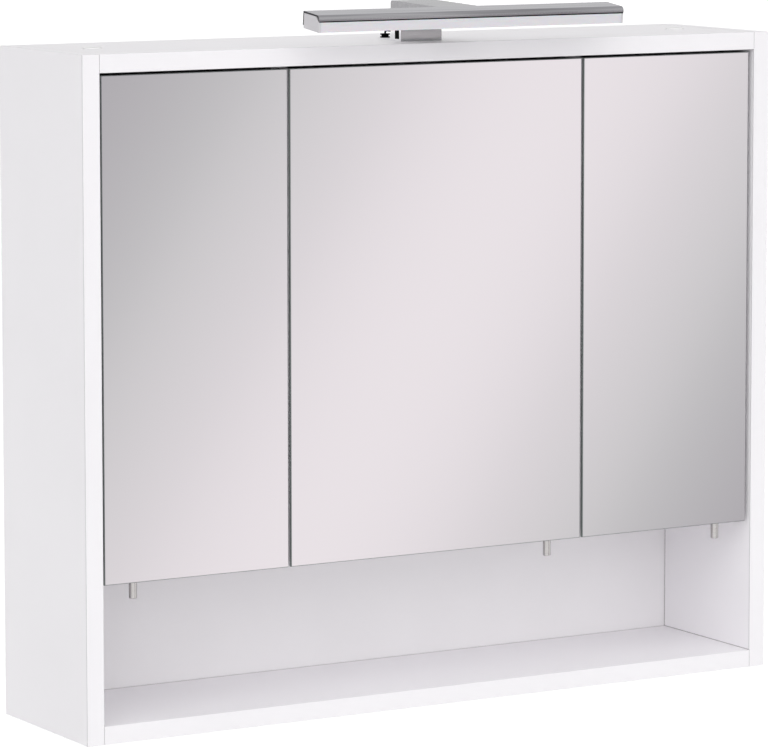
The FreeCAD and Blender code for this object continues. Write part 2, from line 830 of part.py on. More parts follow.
def hinge_cup():
    centre = value(cup_across)
    deep = value("cup_deep")
    thick = value("flange_thick")
    wall = value("cup_wall")
    wing = value("flange_wing")
    start = value("flange_start")
    wing_low = centre + value("flange_wing_low")
    wing_high = centre + value("flange_wing_high")
    outer = value("cup_radius")
    flange = joined([
        turned_in(value("flange_radius"), 0, thick, centre),
        Part.makeBox(wing_high - wing_low, thick, 2 * wing, Vector(wing_low, 0, -wing)),
    ])
    trim = Part.makeBox(start + outer, thick, 4 * wing, Vector(-outer, 0, -2 * wing))
    body = joined([turned_in(outer, -deep, 0, centre), flange.cut(trim)])
    body = body.cut(turned_in(outer - wall, wall - deep, thick, centre))
    pin = upright(outer_door, pin_radius, -outer, outer).common(turned_in(outer, -deep, 0, centre))
    return joined([body, pin])


def hinge_plate():
    face = value(plate_face)
    thick = value("plate_thick")
    start = value("arm_base_start")
    end = value("arm_base_end")
    half = value("plate_half")
    wing = value("plate_screw_pitch / 2 + plate_wing_past")
    wing_half = value("plate_wing_half")
    middle = value(plate_mid_in)
    body = joined([
        Part.makeBox(thick, end - start, 2 * half, Vector(face, start, -half)),
        Part.makeBox(thick, 2 * wing_half, 2 * wing, Vector(face, middle - wing_half, -wing)),
    ])
    radius = value("screw_radius + fit_play")
    for step in (-1, 1):
        level = step * value("plate_screw_pitch / 2")
        body = body.cut(crosswise(radius, face, face + thick, middle, level))
    return body.cut(arm_screw_hole())


def screw(radius, tip, seat, inward):
    # a screw across the hinge: its head stands on the seat and its shank runs down to the tip
    head = crosswise(value("screw_head_radius"), seat, seat + value("screw_head"), inward, 0)
    return joined([head, crosswise(radius, tip, seat, inward, 0)])


turn_over = Rotation(Vector(0, 1, 0), 180)
hinge_places = {}
for name, door in doors.items():
    turn = Rotation() if door["way"] > 0 else turn_over
    origin = [Vector(value(door["hinge"]), value(door_back), value(level)) for level in hinge_levels]
    hinge_places[name] = [Placement(point, turn) for point in origin]
    keep(copies(hinge_cup(), hinge_places[name]), f"{name}_hinge_cups")
    keep(copies(outer_link(), hinge_places[name]), f"{name}_outer_hinge_links")
    keep(copies(inner_link(), hinge_places[name]), f"{name}_inner_hinge_links")
    keep(copies(hinge_arm(), hinge_places[name]), f"{name}_hinge_arms")
all_hinges = sum(hinge_places.values(), [])
keep(copies(hinge_plate(), all_hinges), "hinge_mounting_plates")
plate_screw = screw(
    value("screw_radius"), value(f"{plate_face} - plate_screw_bite"), value(plate_seat), value(plate_mid_in)
)
screw_rise = value("plate_screw_pitch / 2")
screw_steps = [Placement(Vector(0, 0, step * screw_rise), Rotation()) for step in (-1, 1)]
screw_places = [hinge.multiply(step) for hinge in all_hinges for step in screw_steps]
keep(copies(plate_screw, screw_places), "hinge_plate_screws")
arm_screw = screw(
    value("arm_screw_radius"), value(plate_face), value(f"{plate_seat} + arm_base"), value(arm_screw_in)
)
keep(copies(arm_screw, all_hinges), "hinge_arm_screws")

# Lamp base: a channel across the cabinet's top with a black insert in its slot
base_half = "(base_width / 2)"
base_top = f"({roof} + base_height)"
slot_front = f"({base_front_y} + base_front_wall)"
slot_back = f"({slot_front} + base_slot)"
channel = profile(
    "lamp_channel", "YZ_Plane",
    [
        (base_front_y, roof),
        (base_back_y, roof),
        (base_back_y, base_top),
        (slot_back, base_top),
        (slot_back, f"{roof} + base_floor"),
        (slot_front, f"{roof} + base_floor"),
        (slot_front, base_top),
        (base_front_y, base_top),
    ],
    f"-{base_half}", base_half,
)
lead_z = f"({roof} + grommet_tall + lead_clear + lead_bend)"
base_tools = [bore("y", "lead_radius", slot_back, f"{base_back_y} + cut_past", "0", lead_z)]
for side in sides.values():
    pilot_top = f"{roof} + base_screw_bite + drill_over"
    pilot_x = out(side, "base_screw_spread")
    base_tools.append(bore("z", "screw_radius", roof, pilot_top, pilot_x, base_screw_y))
keep(cut(channel, base_tools), "lamp_base")
insert_x = (f"lamp_play - {base_half}", f"{base_half} - lamp_play")
insert_y = (f"{slot_front} + lamp_play", f"{slot_back} - lamp_play")
keep(box(insert_x, insert_y, (f"{roof} + base_floor", f"{base_top} - lamp_play")), "lamp_base_insert")

base_screws = []
for side in sides.values():
    x = out(side, "base_screw_spread")
    base_screws.append(fuse([
        rod("z", "screw_head_radius", f"{roof_low} - screw_head", roof_low, x, base_screw_y),
        rod("z", "screw_radius", roof_low, f"{roof} + base_screw_bite", x, base_screw_y),
    ]))
keep(bundle(base_screws), "lamp_base_screws")

# Lamp arm: a strap that rises at the back of the base and runs forward to the light bar
bar_y = "(-depth - bar_reach)"
bar_z = f"({roof} + bar_rise)"
arm_top = f"({roof} + arm_rise)"
arm_end_z = f"({arm_top} - arm_drop)"
leg_front = f"({base_back_y} - arm_leg)"
strap_corner = (leg_front, f"{arm_top} - arm_strap")
leg_corner = (base_back_y, arm_top)
strap_end = f"({bar_y} + ({bar_z} - {arm_end_z}) * tan(bar_tilt) + lamp_play)"
arm = profile(
    "lamp_strap", "YZ_Plane",
    [
        (base_back_y, base_top),
        leg_corner,
        (strap_end, arm_end_z),
        (f"{strap_end} + arm_strap * tan(bar_tilt)", f"{arm_end_z} - arm_strap"),
        strap_corner,
        (leg_front, base_top),
    ],
    f"-{base_half}", base_half,
)
rounded(arm, [leg_corner], "arm_round")
rounded(arm, [strap_corner], "arm_inner_round")
keep(arm, "lamp_arm")

# Light bar: chrome cover profile, frosted diffuser, end caps and LED strip, drawn level and tilted together
bar_half = "(bar_length / 2)"
in_wall = "(cover_wall + lamp_play)"
front_in = f"(bar_depth - {in_wall})"
cover_lip_corner = ("-bar_depth", "0")
cover_hollow_corner = ("cover_wall - bar_depth", "-cover_wall")


def tilt(piece):
    return place(piece, "0", bar_y, bar_z, Vector(1, 0, 0), "bar_tilt")


cover = profile(
    "lamp_cover_profile", "YZ_Plane",
    [
        ("0", "-bar_thick"),
        ("0", "0"),
        cover_lip_corner,
        ("-bar_depth", "-cover_lip"),
        ("cover_wall - bar_depth", "-cover_lip"),
        cover_hollow_corner,
        ("-cover_wall", "-cover_wall"),
        ("-cover_wall", "-bar_thick"),
    ],
    f"-{bar_half}", bar_half,
)
rounded(cover, [cover_lip_corner], "cover_round")
rounded(cover, [cover_hollow_corner], "cover_round - cover_wall")
keep(tilt(cover), "lamp_cover")

step_z = "-(cover_lip + lamp_play)"
face_y = "(lamp_play - bar_depth)"
hollow_low = "(diffuser_wall - bar_thick)"
light_half = f"({bar_half} - end_cap - lamp_play)"
diffuser = profile(
    "lamp_diffuser_profile", "YZ_Plane",
    [
        (f"-{in_wall}", f"-{in_wall}"),
        (f"-{in_wall}", "-bar_thick"),
        (face_y, "-bar_thick"),
        (face_y, step_z),
        (f"-{front_in}", step_z),
        (f"-{front_in}", f"-{in_wall} - cover_round"),
        (f"diffuser_wall - {front_in}", f"-{in_wall} - cover_round"),
        (f"diffuser_wall - {front_in}", hollow_low),
        (f"-{in_wall} - diffuser_wall", hollow_low),
        (f"-{in_wall} - diffuser_wall", f"-{in_wall}"),
    ],
    f"-{light_half}", light_half,
)
keep(tilt(diffuser), "lamp_diffuser")

end_caps = []
for side in sides.values():
    low, high = span(side, f"{bar_half} - end_cap", bar_half)
    cap = profile(
        "lamp_end_cap_profile", "YZ_Plane",
        [
            (f"-{in_wall}", f"-{in_wall}"),
            (f"-{in_wall}", "-bar_thick"),
            (face_y, "-bar_thick"),
            (face_y, step_z),
            (f"-{front_in}", step_z),
            (f"-{front_in}", f"-{in_wall} - cover_round"),
            (f"cover_round - {front_in}", f"-{in_wall}"),
        ],
        low, high,
    )
    end_caps.append(tilt(cap))
keep(bundle(end_caps), "lamp_end_caps")

strip_mid = "(-bar_depth / 2)"
strip_y = (f"{strip_mid} - strip_width / 2", f"{strip_mid} + strip_width / 2")
strip_low = f"(-{in_wall} - strip_thick)"
strip_parts = [box((f"-{light_half}", light_half), strip_y, (strip_low, f"-{in_wall}"))]
led_y = (f"{strip_mid} - led_size / 2", f"{strip_mid} + led_size / 2")
led_count = math.floor(value(f"2 * {light_half} - led_size") / value("led_pitch"))
for i in range(led_count):
    x = f"({i + 0.5 - led_count / 2} * led_pitch)"
    led_x = (f"{x} - led_size / 2", f"{x} + led_size / 2")
    strip_parts.append(box(led_x, led_y, (f"{strip_low} - led_tall", strip_low)))
keep(tilt(fuse(strip_parts)), "led_strip")

# Lamp lead: out of the base's back, down through the grommet and the top panel into the power box
run_y = f"({lead_y} - lead_bend)"
drop_z = f"({lead_z} - lead_bend)"
bend_centre = Vector(0, value(run_y), value(drop_z))
bend = value("lead_bend")
sway = bend * math.sqrt(0.5)
start = Vector(0, value(slot_back), value(lead_z))
bend_start = bend_centre + Vector(0, 0, bend)
bend_middle = bend_centre + Vector(0, sway, sway)
bend_end = bend_centre + Vector(0, bend, 0)
finish = Vector(0, value(lead_y), value(f"{roof_low} - box_wall - lead_tail"))
route = Part.Wire([
    Part.LineSegment(start, bend_start).toShape(),
    Part.Arc(bend_start, bend_middle, bend_end).toShape(),
    Part.LineSegment(bend_end, finish).toShape(),
])
section = Part.Wire([Part.makeCircle(value("lead_radius"), start, Vector(0, 1, 0))])
keep(solid(route.makePipeShell([section], True, False)), "lamp_lead")

grommet_top = f"({roof} + grommet_tall)"
grommet = fuse([
    rod("z", "grommet_neck", roof_low, grommet_top, "0", lead_y),
    rod("z", "grommet_radius", roof, f"{roof} + grommet_flange", "0", lead_y),
    rod("z", "grommet_radius", f"{grommet_top} - grommet_flange", grommet_top, "0", lead_y),
])
grommet_bore = bore("z", "lead_radius", f"{roof_low} - cut_past", f"{grommet_top} + cut_past", "0", lead_y)
keep(cut(grommet, [grommet_bore]), "lead_grommet")

# Power box: open-bottomed housing with a lid, screwed up into the top panel
shell = box((f"-{box_half}", box_half), (box_front, box_rear), (box_low, roof_low))
hollow = box(
    (f"box_wall - {box_half}", f"{box_half} - box_wall"),
    (f"{box_front} + box_wall", f"{box_rear} - box_wall"),
    (f"{box_low} - cut_past", f"{roof_low} - box_wall"),
)
posts = [rod("z", "box_post_radius", f"{box_low} + box_lid", roof_low, x, y) for x, y in box_screws]
switch_x = f"({box_half} - switch_side_gap - switch_width / 2)"
switch_z = f"({roof_low} - box_tall / 2)"
sleeve_half_x = "(switch_width / 2 + switch_wall)"
sleeve_half_z = "(switch_tall / 2 + switch_wall)"
sleeve_x = (f"{switch_x} - {sleeve_half_x}", f"{switch_x} + {sleeve_half_x}")
sleeve_z = (f"{switch_z} - {sleeve_half_z}", f"{switch_z} + {sleeve_half_z}")
switch_hole = box(
    (f"{sleeve_x[0]} - fit_play", f"{sleeve_x[1]} + fit_play"),
    (f"{box_front} - cut_past", f"{box_front} + box_wall + cut_past"),
    (f"{sleeve_z[0]} - fit_play", f"{sleeve_z[1]} + fit_play"),
)
box_inside = f"({box_rear} - box_wall)"
gland_way = (f"{box_inside} - cut_past", f"{box_rear} + cut_past")
lead_way = (f"{roof_low} - box_wall - cut_past", f"{roof_low} + cut_past")
tools = [
    switch_hole,
    bore("y", "gland_radius", *gland_way, "0", gland_z),
    bore("z", "lead_radius", *lead_way, "0", lead_y),
]
post_way = (f"{box_low} - cut_past", f"{roof_low} + cut_past")
tools += [bore("z", "screw_radius", *post_way, x, y) for x, y in box_screws]
keep(cut(fuse([cut(shell, [hollow])] + posts), tools), "power_box_housing")

lid = box(
    (f"box_wall + fit_play - {box_half}", f"{box_half} - box_wall - fit_play"),
    (f"{box_front} + box_wall + fit_play", f"{box_rear} - box_wall - fit_play"),
    (box_low, f"{box_low} + box_lid"),
)
lid_holes = [bore("z", "screw_radius", *post_way, x, y) for x, y in box_screws]
keep(cut(lid, lid_holes), "power_box_lid")

box_screw_set = []
for x, y in box_screws:
    box_screw_set.append(fuse([
        rod("z", "screw_head_radius", f"{box_low} - screw_head", box_low, x, y),
        rod("z", "screw_radius", box_low, f"{roof_low} + screw_bite", x, y),
    ]))
keep(bundle(box_screw_set), "power_box_screws")

# Mains gland on the power box's rear, through the back panel; its nut sits inside the box wall
gland_start = f"({box_inside} - gland_nut)"
gland_end = f"({back_front} + gland_proud)"
gland = fuse([
    rod("y", "gland_radius", gland_start, gland_end, "0", gland_z),
    rod("y", "gland_nut_radius", box_rear, f"{back_front} - gland_nut", "0", gland_z),
    rod("y", "gland_nut_radius", gland_start, box_inside, "0", gland_z),
])
gland_bore = rod("y", "gland_bore", f"{gland_start} - cut_past", f"{gland_end} + cut_past", "0", gland_z)
keep(cut(gland, [gland_bore]), "mains_gland")

# Rocker switch in its frame on the power box's front
rim_x = (f"{sleeve_x[0]} - switch_frame_rim", f"{sleeve_x[1]} + switch_frame_rim")
rim_z = (f"{sleeve_z[0]} - switch_frame_rim", f"{sleeve_z[1]} + switch_frame_rim")
pivot_y = f"({box_front} + rocker_pin_in)"
frame_rim = box(rim_x, (f"{box_front} - switch_frame_proud", box_front), rim_z)
frame_sleeve = box(sleeve_x, (box_front, f"{box_front} + switch_deep"), sleeve_z)
frame_mouth = box(
    (f"{switch_x} - switch_width / 2", f"{switch_x} + switch_width / 2"),
    (f"{box_front} - switch_frame_proud - cut_past", f"{box_front} + switch_deep + cut_past"),
    (f"{switch_z} - switch_tall / 2", f"{switch_z} + switch_tall / 2"),
)
pivot_way = (f"{sleeve_x[0]} - cut_past", f"{sleeve_x[1]} + cut_past")
frame_pivot = rod("x", "rocker_pin_radius + hinge_pin_play", *pivot_way, pivot_y, switch_z)
keep(cut(fuse([frame_rim, frame_sleeve]), [fuse([frame_mouth, frame_pivot])]), "switch_frame")

rocker_half = "(switch_width / 2 - rocker_play)"
rocker_tall = "(switch_tall / 2 - rocker_play)"
rocker_body = profile(
    "rocker_outline", "YZ_Plane",
    [
        ("-rocker_crown", "0"),
        (f"-rocker_crown - {rocker_tall} * tan(rocker_throw)", f"-{rocker_tall} + rocker_play"),
        ("rocker_pin_radius", f"-{rocker_tall} + rocker_play"),
        ("2 * rocker_pin_radius", "0"),
        ("rocker_pin_radius", f"{rocker_tall} - rocker_play"),
        (f"-rocker_crown - {rocker_tall} * tan(rocker_throw)", f"{rocker_tall} - rocker_play"),
    ],
    f"-{rocker_half}", rocker_half,
)
rocker_pin = rod("x", "rocker_pin_radius", f"-{sleeve_half_x}", sleeve_half_x, "0", "0")
rocker = fuse([rocker_body, rocker_pin])
keep(place(rocker, switch_x, pivot_y, switch_z, Vector(1, 0, 0), "rocker_throw"), "switch_rocker")

doc.recompute()
for item in doc.Objects:
    if {"Invalid", "Error"} & set(item.State):
        raise RuntimeError(f"{item.Label} did not build: {item.State}")
for piece in nodes:
    if piece.Shape.isNull() or not piece.Shape.isValid() or not piece.Shape.Solids:
        raise RuntimeError(f"{piece.Label} has no valid solid")
os.makedirs("parts", exist_ok=True)
for piece in nodes:
    piece.Shape.exportStep(f"parts/{piece.Label}.step")
print(len(nodes), "pieces,", sum(len(piece.Shape.Solids) for piece in nodes), "solids")
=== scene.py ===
import json
import math

import bmesh
import bpy
from mathutils import Matrix, Vector


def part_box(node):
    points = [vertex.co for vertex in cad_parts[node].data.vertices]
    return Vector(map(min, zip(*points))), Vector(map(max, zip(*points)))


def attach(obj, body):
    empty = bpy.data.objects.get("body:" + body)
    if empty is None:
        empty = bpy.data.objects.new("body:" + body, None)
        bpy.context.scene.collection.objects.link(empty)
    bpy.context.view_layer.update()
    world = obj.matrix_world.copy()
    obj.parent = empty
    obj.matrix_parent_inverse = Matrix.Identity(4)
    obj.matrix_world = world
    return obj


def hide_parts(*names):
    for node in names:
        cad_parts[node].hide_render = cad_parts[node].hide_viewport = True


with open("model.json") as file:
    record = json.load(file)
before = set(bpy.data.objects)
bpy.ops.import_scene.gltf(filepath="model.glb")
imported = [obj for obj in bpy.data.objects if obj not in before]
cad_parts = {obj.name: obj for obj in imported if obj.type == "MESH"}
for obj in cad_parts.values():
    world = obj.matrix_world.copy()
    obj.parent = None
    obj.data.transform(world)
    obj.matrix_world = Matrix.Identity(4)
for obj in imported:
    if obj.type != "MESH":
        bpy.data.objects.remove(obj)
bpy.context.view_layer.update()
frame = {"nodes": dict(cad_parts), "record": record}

mm = 0.001
nodes = frame["nodes"]
slotOfNode = {part["node"]: part["material_slot"] for part in frame["record"]["subparts"]}
bodyOfNode = {node: body for body, group in frame["record"]["behaviour"]["bodies"].items() for node in group}
print("frame loaded,", len(nodes), "nodes")

squareOn = 0.9    # share of a normal along an axis from which a face counts as square to it
edgeSamples = 6    # rays for an eased edge
seamSamples = 8    # rays for the grey line between two boards
grainDepth = 0.05 * mm    # spark-eroded grain of a mould


def linear(hexColour, alpha=1.0):
    # an sRGB hex colour as linear light
    channels = [int(hexColour[i:i + 2], 16) / 255 for i in (1, 3, 5)]
    return [c / 12.92 if c <= 0.04045 else ((c + 0.055) / 1.055) ** 2.4 for c in channels] + [alpha]


def perMm(size):
    return 1 / (size * mm)    # texture scale at which one feature is about this many millimetres


def addNode(tree, kind, sockets=None, **settings):
    node = tree.nodes.new(kind)
    for name, setting in settings.items():
        setattr(node, name, setting)
    for socket, source in (sockets or {}).items():
        if isinstance(source, bpy.types.NodeSocket):
            tree.links.new(source, node.inputs[socket])
        else:
            node.inputs[socket].default_value = source
    return node


def newMaterial(name, **uniform):
    material = bpy.data.materials.new(name)
    material.use_nodes = True
    tree = material.node_tree
    shader = tree.nodes["Principled BSDF"]
    for socket, setting in uniform.items():
        shader.inputs[socket.replace("_", " ")].default_value = setting
    return material, tree, shader


def twoTone(tree, shader, factor, first, second):
    tint = addNode(tree, "ShaderNodeMix", {"Factor": factor}, data_type="RGBA")
    tint.inputs["A"].default_value = linear(first)
    tint.inputs["B"].default_value = linear(second)
    tree.links.new(tint.outputs["Result"], shader.inputs["Base Color"])
    return tint


def paintOver(tree, shader, under, factor, colour):
    # lays a colour over an earlier tint, as far as the factor goes
    tint = twoTone(tree, shader, factor, colour, colour)
    tree.links.new(under.outputs["Result"], tint.inputs["A"])
    return tint


def between(tree, socket, factor, low, high):
    spread = addNode(tree, "ShaderNodeMapRange", {"Value": factor, "To Min": low, "To Max": high})
    tree.links.new(spread.outputs["Result"], socket)


def relief(tree, shader, height, depth, strength, edge=0.0):
    # fine surface relief, with the piece's sharp edges eased by the edge radius
    bump = addNode(tree, "ShaderNodeBump", {"Height": height, "Distance": depth, "Strength": strength})
    if edge:
        eased = addNode(tree, "ShaderNodeBevel", {"Radius": edge}, samples=edgeSamples)
        tree.links.new(eased.outputs["Normal"], bump.inputs["Normal"])
    tree.links.new(bump.outputs["Normal"], shader.inputs["Normal"])


def turnedTo(tree, coords, axis):
    # how squarely a face looks along an axis, either way
    facing = addNode(tree, "ShaderNodeSeparateXYZ", {"Vector": coords.outputs["Normal"]})
    flat = addNode(tree, "ShaderNodeMath", {0: facing.outputs[axis]}, operation="ABSOLUTE")
    return flat.outputs["Value"]


def squareTo(tree, coords, axis):
    # 1 on the faces that are square to an axis, and 0 on the others
    share = turnedTo(tree, coords, axis)
    square = addNode(tree, "ShaderNodeMath", {0: share, 1: squareOn}, operation="GREATER_THAN")
    return square.outputs["Value"]


# Melamine-faced chipboard: pressed resin film, so an even white with a soft sheen and a faint orange peel,
# and a grey line of painted shade in the corners where boards meet. The line is drawn about 1 mm wide to
# show.
melamine = {
    "white": "#faf8fb", "shade": "#f6f4f7", "cloud": 140, "sheen": (0.38, 0.5),
    "peel": 1.6, "peelDepth": 0.04 * mm, "peelStrength": 0.12, "edge": 0.6 * mm,
    "cornerShade": "#d2cfd1", "seam": 1.6 * mm, "seamStart": 0.85, "seamFull": 0.45,
}

# Side panels: the same film, grooved for the back, so a darker line of painted shade there, and edged in
# front with a plastic band whose joint is a hairline 1 mm behind the front. The joint is drawn 1.2 mm wide to
# show.
sidePanel = dict(melamine, cornerShade="#858183", band="#d8d6d8", bandAt=-162 * mm, bandHalf=0.6 * mm)

# Door carrier board: the same film, with a dark painted shadow on its top faces, under the rail.
carrier = dict(melamine, topShade="#363537")

# Lacquered hardboard: rolled white lacquer over pressed fibre, flatter and a little duller than the boards.
hardboard = dict(melamine, white="#f9f7f9", shade="#f5f3f5", cloud=60, peel=0.9, edge=0.3 * mm)


def whiteBoard(name, look):
    material, tree, shader = newMaterial(name, IOR=1.5)
    coords = addNode(tree, "ShaderNodeTexCoord")
    place = coords.outputs["Object"]
    cloud = addNode(
        tree, "ShaderNodeTexNoise", {"Vector": place, "Scale": perMm(look["cloud"]), "Detail": 2.0}
    )
    peel = addNode(
        tree, "ShaderNodeTexNoise", {"Vector": place, "Scale": perMm(look["peel"]), "Detail": 1.0}
    )
    film = twoTone(tree, shader, cloud.outputs["Fac"], look["white"], look["shade"])
    # painted shade: an occlusion test greys the film in the corners and grooves where other surfaces close in
    corner = addNode(tree, "ShaderNodeAmbientOcclusion", {"Distance": look["seam"]}, samples=seamSamples)
    near = addNode(
        tree, "ShaderNodeMapRange",
        {"Value": corner.outputs["AO"], "From Min": look["seamFull"], "From Max": look["seamStart"],
         "To Min": 1.0, "To Max": 0.0},
    )
    film = paintOver(tree, shader, film, near.outputs["Result"], look["cornerShade"])
    # painted shade: the faces turned up are darkened
    if "topShade" in look:
        facing = addNode(tree, "ShaderNodeSeparateXYZ", {"Vector": coords.outputs["Normal"]})
        isTop = addNode(
            tree, "ShaderNodeMath", {0: facing.outputs["Z"], 1: squareOn}, operation="GREATER_THAN"
        )
        film = paintOver(tree, shader, film, isTop.outputs["Value"], look["topShade"])
    if "band" in look:
        spot = addNode(tree, "ShaderNodeSeparateXYZ", {"Vector": place})
        isBand = addNode(
            tree, "ShaderNodeMath", {0: spot.outputs["Y"], 1: look["bandAt"], 2: look["bandHalf"]},
            operation="COMPARE",
        )
        joint = addNode(
            tree, "ShaderNodeMath", {0: isBand.outputs["Value"], 1: squareTo(tree, coords, "X")},
            operation="MULTIPLY",
        )
        film = paintOver(tree, shader, film, joint.outputs["Value"], look["band"])
    between(tree, shader.inputs["Roughness"], cloud.outputs["Fac"], *look["sheen"])
    relief(tree, shader, peel.outputs["Fac"], look["peelDepth"], look["peelStrength"], look["edge"])
    return material


# Silvered float glass: a clean mirror with a dark ground edge all round.
mirrorGlass = {
    "silver": "#f3f1f3", "smear": 160, "polish": (0.0, 0.02),
    "edge": "#6b7070", "grit": "#7d8382", "gritSize": 0.8, "ground": 0.3,
}


def silveredGlass():
    material, tree, shader = newMaterial(
        "silvered float glass", Metallic=1.0, Base_Color=linear(mirrorGlass["silver"])
    )
    coords = addNode(tree, "ShaderNodeTexCoord")
    place = coords.outputs["Object"]
    smear = addNode(
        tree, "ShaderNodeTexNoise", {"Vector": place, "Scale": perMm(mirrorGlass["smear"]), "Detail": 3.0}
    )
    between(tree, shader.inputs["Roughness"], smear.outputs["Fac"], *mirrorGlass["polish"])
    edge = addNode(tree, "ShaderNodeBsdfPrincipled", {"Roughness": mirrorGlass["ground"], "IOR": 1.52})
    grind = addNode(
        tree, "ShaderNodeTexNoise", {"Vector": place, "Scale": perMm(mirrorGlass["gritSize"])}
    )
    twoTone(tree, edge, grind.outputs["Fac"], mirrorGlass["edge"], mirrorGlass["grit"])
    pick = addNode(
        tree, "ShaderNodeMixShader",
        {0: squareTo(tree, coords, "Y"), 1: edge.outputs["BSDF"], 2: shader.outputs["BSDF"]},
    )
    tree.links.new(pick.outputs["Shader"], tree.nodes["Material Output"].inputs["Surface"])
    return material


# Tempered glass shelf: clear, with the green that float glass shows through its length at its ground edges.
shelfGlass = {
    "clear": "#eef8f4", "deep": "#9fcfbd", "edgeClear": 0.2,
    "wave": 220, "waveDepth": 0.02 * mm, "waveStrength": 0.1,
}


def temperedGlass():
    material, tree, shader = newMaterial("tempered shelf glass", IOR=1.52, Roughness=0.01)
    coords = addNode(tree, "ShaderNodeTexCoord")
    flat = turnedTo(tree, coords, "Z")
    twoTone(tree, shader, flat, shelfGlass["deep"], shelfGlass["clear"])
    between(tree, shader.inputs["Transmission Weight"], flat, shelfGlass["edgeClear"], 1.0)
    wave = addNode(
        tree, "ShaderNodeTexNoise", {"Vector": coords.outputs["Object"], "Scale": perMm(shelfGlass["wave"])}
    )
    relief(tree, shader, wave.outputs["Fac"], shelfGlass["waveDepth"], shelfGlass["waveStrength"])
    return material


def metal(name, first, second, low, high, stretch, depth, strength, edge=0.2 * mm, **uniform):
    # plated or bare metal: two close tones, and tool or rolling marks stretched along one axis
    material, tree, shader = newMaterial(name, Metallic=1.0, **uniform)
    place = addNode(tree, "ShaderNodeTexCoord").outputs["Object"]
    run = addNode(tree, "ShaderNodeMapping", {"Vector": place, "Scale": stretch})
    marks = addNode(
        tree, "ShaderNodeTexNoise", {"Vector": run.outputs["Vector"], "Scale": 1.0, "Detail": 3.0}
    )
    twoTone(tree, shader, marks.outputs["Fac"], first, second)
    between(tree, shader.inputs["Roughness"], marks.outputs["Fac"], low, high)
    relief(tree, shader, marks.outputs["Fac"], depth, strength, edge)
    return material


# What the lamp's two chromes share.
drawn = {"sheen": (0.07, 0.16), "contrast": (0.3, 0.7), "depth": 0.02 * mm, "strength": 0.08}

# Chrome over drawn aluminium: a near mirror with soft grey streaks along the bar, and ends darkened by
# painted shade. The real draw lines are hair-fine, so the streaks are drawn about 4 mm wide to show.
coverChrome = dict(
    drawn, bright="#abaaad", streak="#828185", grazing="#e4e4e6", ends="#3c3c3e", long=150, wide=4.0
)

# Chrome over a folded steel channel: duller along its front, with its ends brightened by a painted highlight.
baseChrome = dict(
    drawn, bright="#b9b8ba", streak="#9c9b9d", grazing="#bfbfc1", ends="#f6f5f7", long=60, wide=6.0
)


def drawnChrome(name, look):
    material, tree, shader = newMaterial(name, Metallic=1.0, Specular_Tint=linear(look["grazing"]))
    coords = addNode(tree, "ShaderNodeTexCoord")
    stretch = (perMm(look["long"]), perMm(look["wide"]), perMm(look["wide"]))
    run = addNode(tree, "ShaderNodeMapping", {"Vector": coords.outputs["Object"], "Scale": stretch})
    marks = addNode(
        tree, "ShaderNodeTexNoise", {"Vector": run.outputs["Vector"], "Scale": 1.0, "Detail": 2.0}
    )
    low, high = look["contrast"]
    spread = addNode(
        tree, "ShaderNodeMapRange", {"Value": marks.outputs["Fac"], "From Min": low, "From Max": high}
    )
    streaks = twoTone(tree, shader, spread.outputs["Result"], look["bright"], look["streak"])
    # the ends' tone on faces square to the bar: painted shade on the cover, a painted highlight on the base
    paintOver(tree, shader, streaks, squareTo(tree, coords, "X"), look["ends"])
    between(tree, shader.inputs["Roughness"], marks.outputs["Fac"], *look["sheen"])
    relief(tree, shader, marks.outputs["Fac"], look["depth"], look["strength"])
    return material


def moulded(name, first, second, low, high, grain, strength, edge=0.3 * mm, **uniform):
    # moulded or extruded plastic and rubber: even colour with a fine spark-eroded grain
    material, tree, shader = newMaterial(name, **uniform)
    place = addNode(tree, "ShaderNodeTexCoord").outputs["Object"]
    spark = addNode(tree, "ShaderNodeTexNoise", {"Vector": place, "Scale": perMm(grain), "Detail": 2.0})
    twoTone(tree, shader, spark.outputs["Fac"], first, second)
    between(tree, shader.inputs["Roughness"], spark.outputs["Fac"], low, high)
    relief(tree, shader, spark.outputs["Fac"], grainDepth, strength, edge)
    return material


# Opal acrylic: extruded, milky through its depth, with faint draw lines along the bar.
opal = {
    "milk": "#e3e1e6", "line": "#dddbe0", "pitch": 0.8, "long": 300,
    "depth": 0.03 * mm, "strength": 0.15, "edge": 0.3 * mm,
}


def opalAcrylic():
    material, tree, shader = newMaterial(
        "opal acrylic", IOR=1.49, Roughness=0.42, Subsurface_Weight=0.35, Subsurface_Scale=0.004
    )
    place = addNode(tree, "ShaderNodeTexCoord").outputs["Object"]
    stretch = (perMm(opal["long"]), perMm(opal["pitch"]), perMm(opal["pitch"]))
    run = addNode(tree, "ShaderNodeMapping", {"Vector": place, "Scale": stretch})
    lines = addNode(tree, "ShaderNodeTexNoise", {"Vector": run.outputs["Vector"], "Scale": 1.0})
    twoTone(tree, shader, lines.outputs["Fac"], opal["milk"], opal["line"])
    relief(tree, shader, lines.outputs["Fac"], opal["depth"], opal["strength"], opal["edge"])
    return material


# Beech dowel: turned hardwood with short dark flecks along the grain.
beech = {
    "pale": "#d9b98c", "fleck": "#b98a58", "grain": 0.7, "long": 9, "depth": 0.1 * mm, "strength": 0.3,
}


def beechWood():
    material, tree, shader = newMaterial("beech", Roughness=0.6)
    place = addNode(tree, "ShaderNodeTexCoord").outputs["Object"]
    stretch = (perMm(beech["long"]), perMm(beech["grain"]), perMm(beech["grain"]))
    run = addNode(tree, "ShaderNodeMapping", {"Vector": place, "Scale": stretch})
    grain = addNode(
        tree, "ShaderNodeTexNoise", {"Vector": run.outputs["Vector"], "Scale": 1.0, "Detail": 4.0}
    )
    twoTone(tree, shader, grain.outputs["Fac"], beech["pale"], beech["fleck"])
    relief(tree, shader, grain.outputs["Fac"], beech["depth"], beech["strength"])
    return material


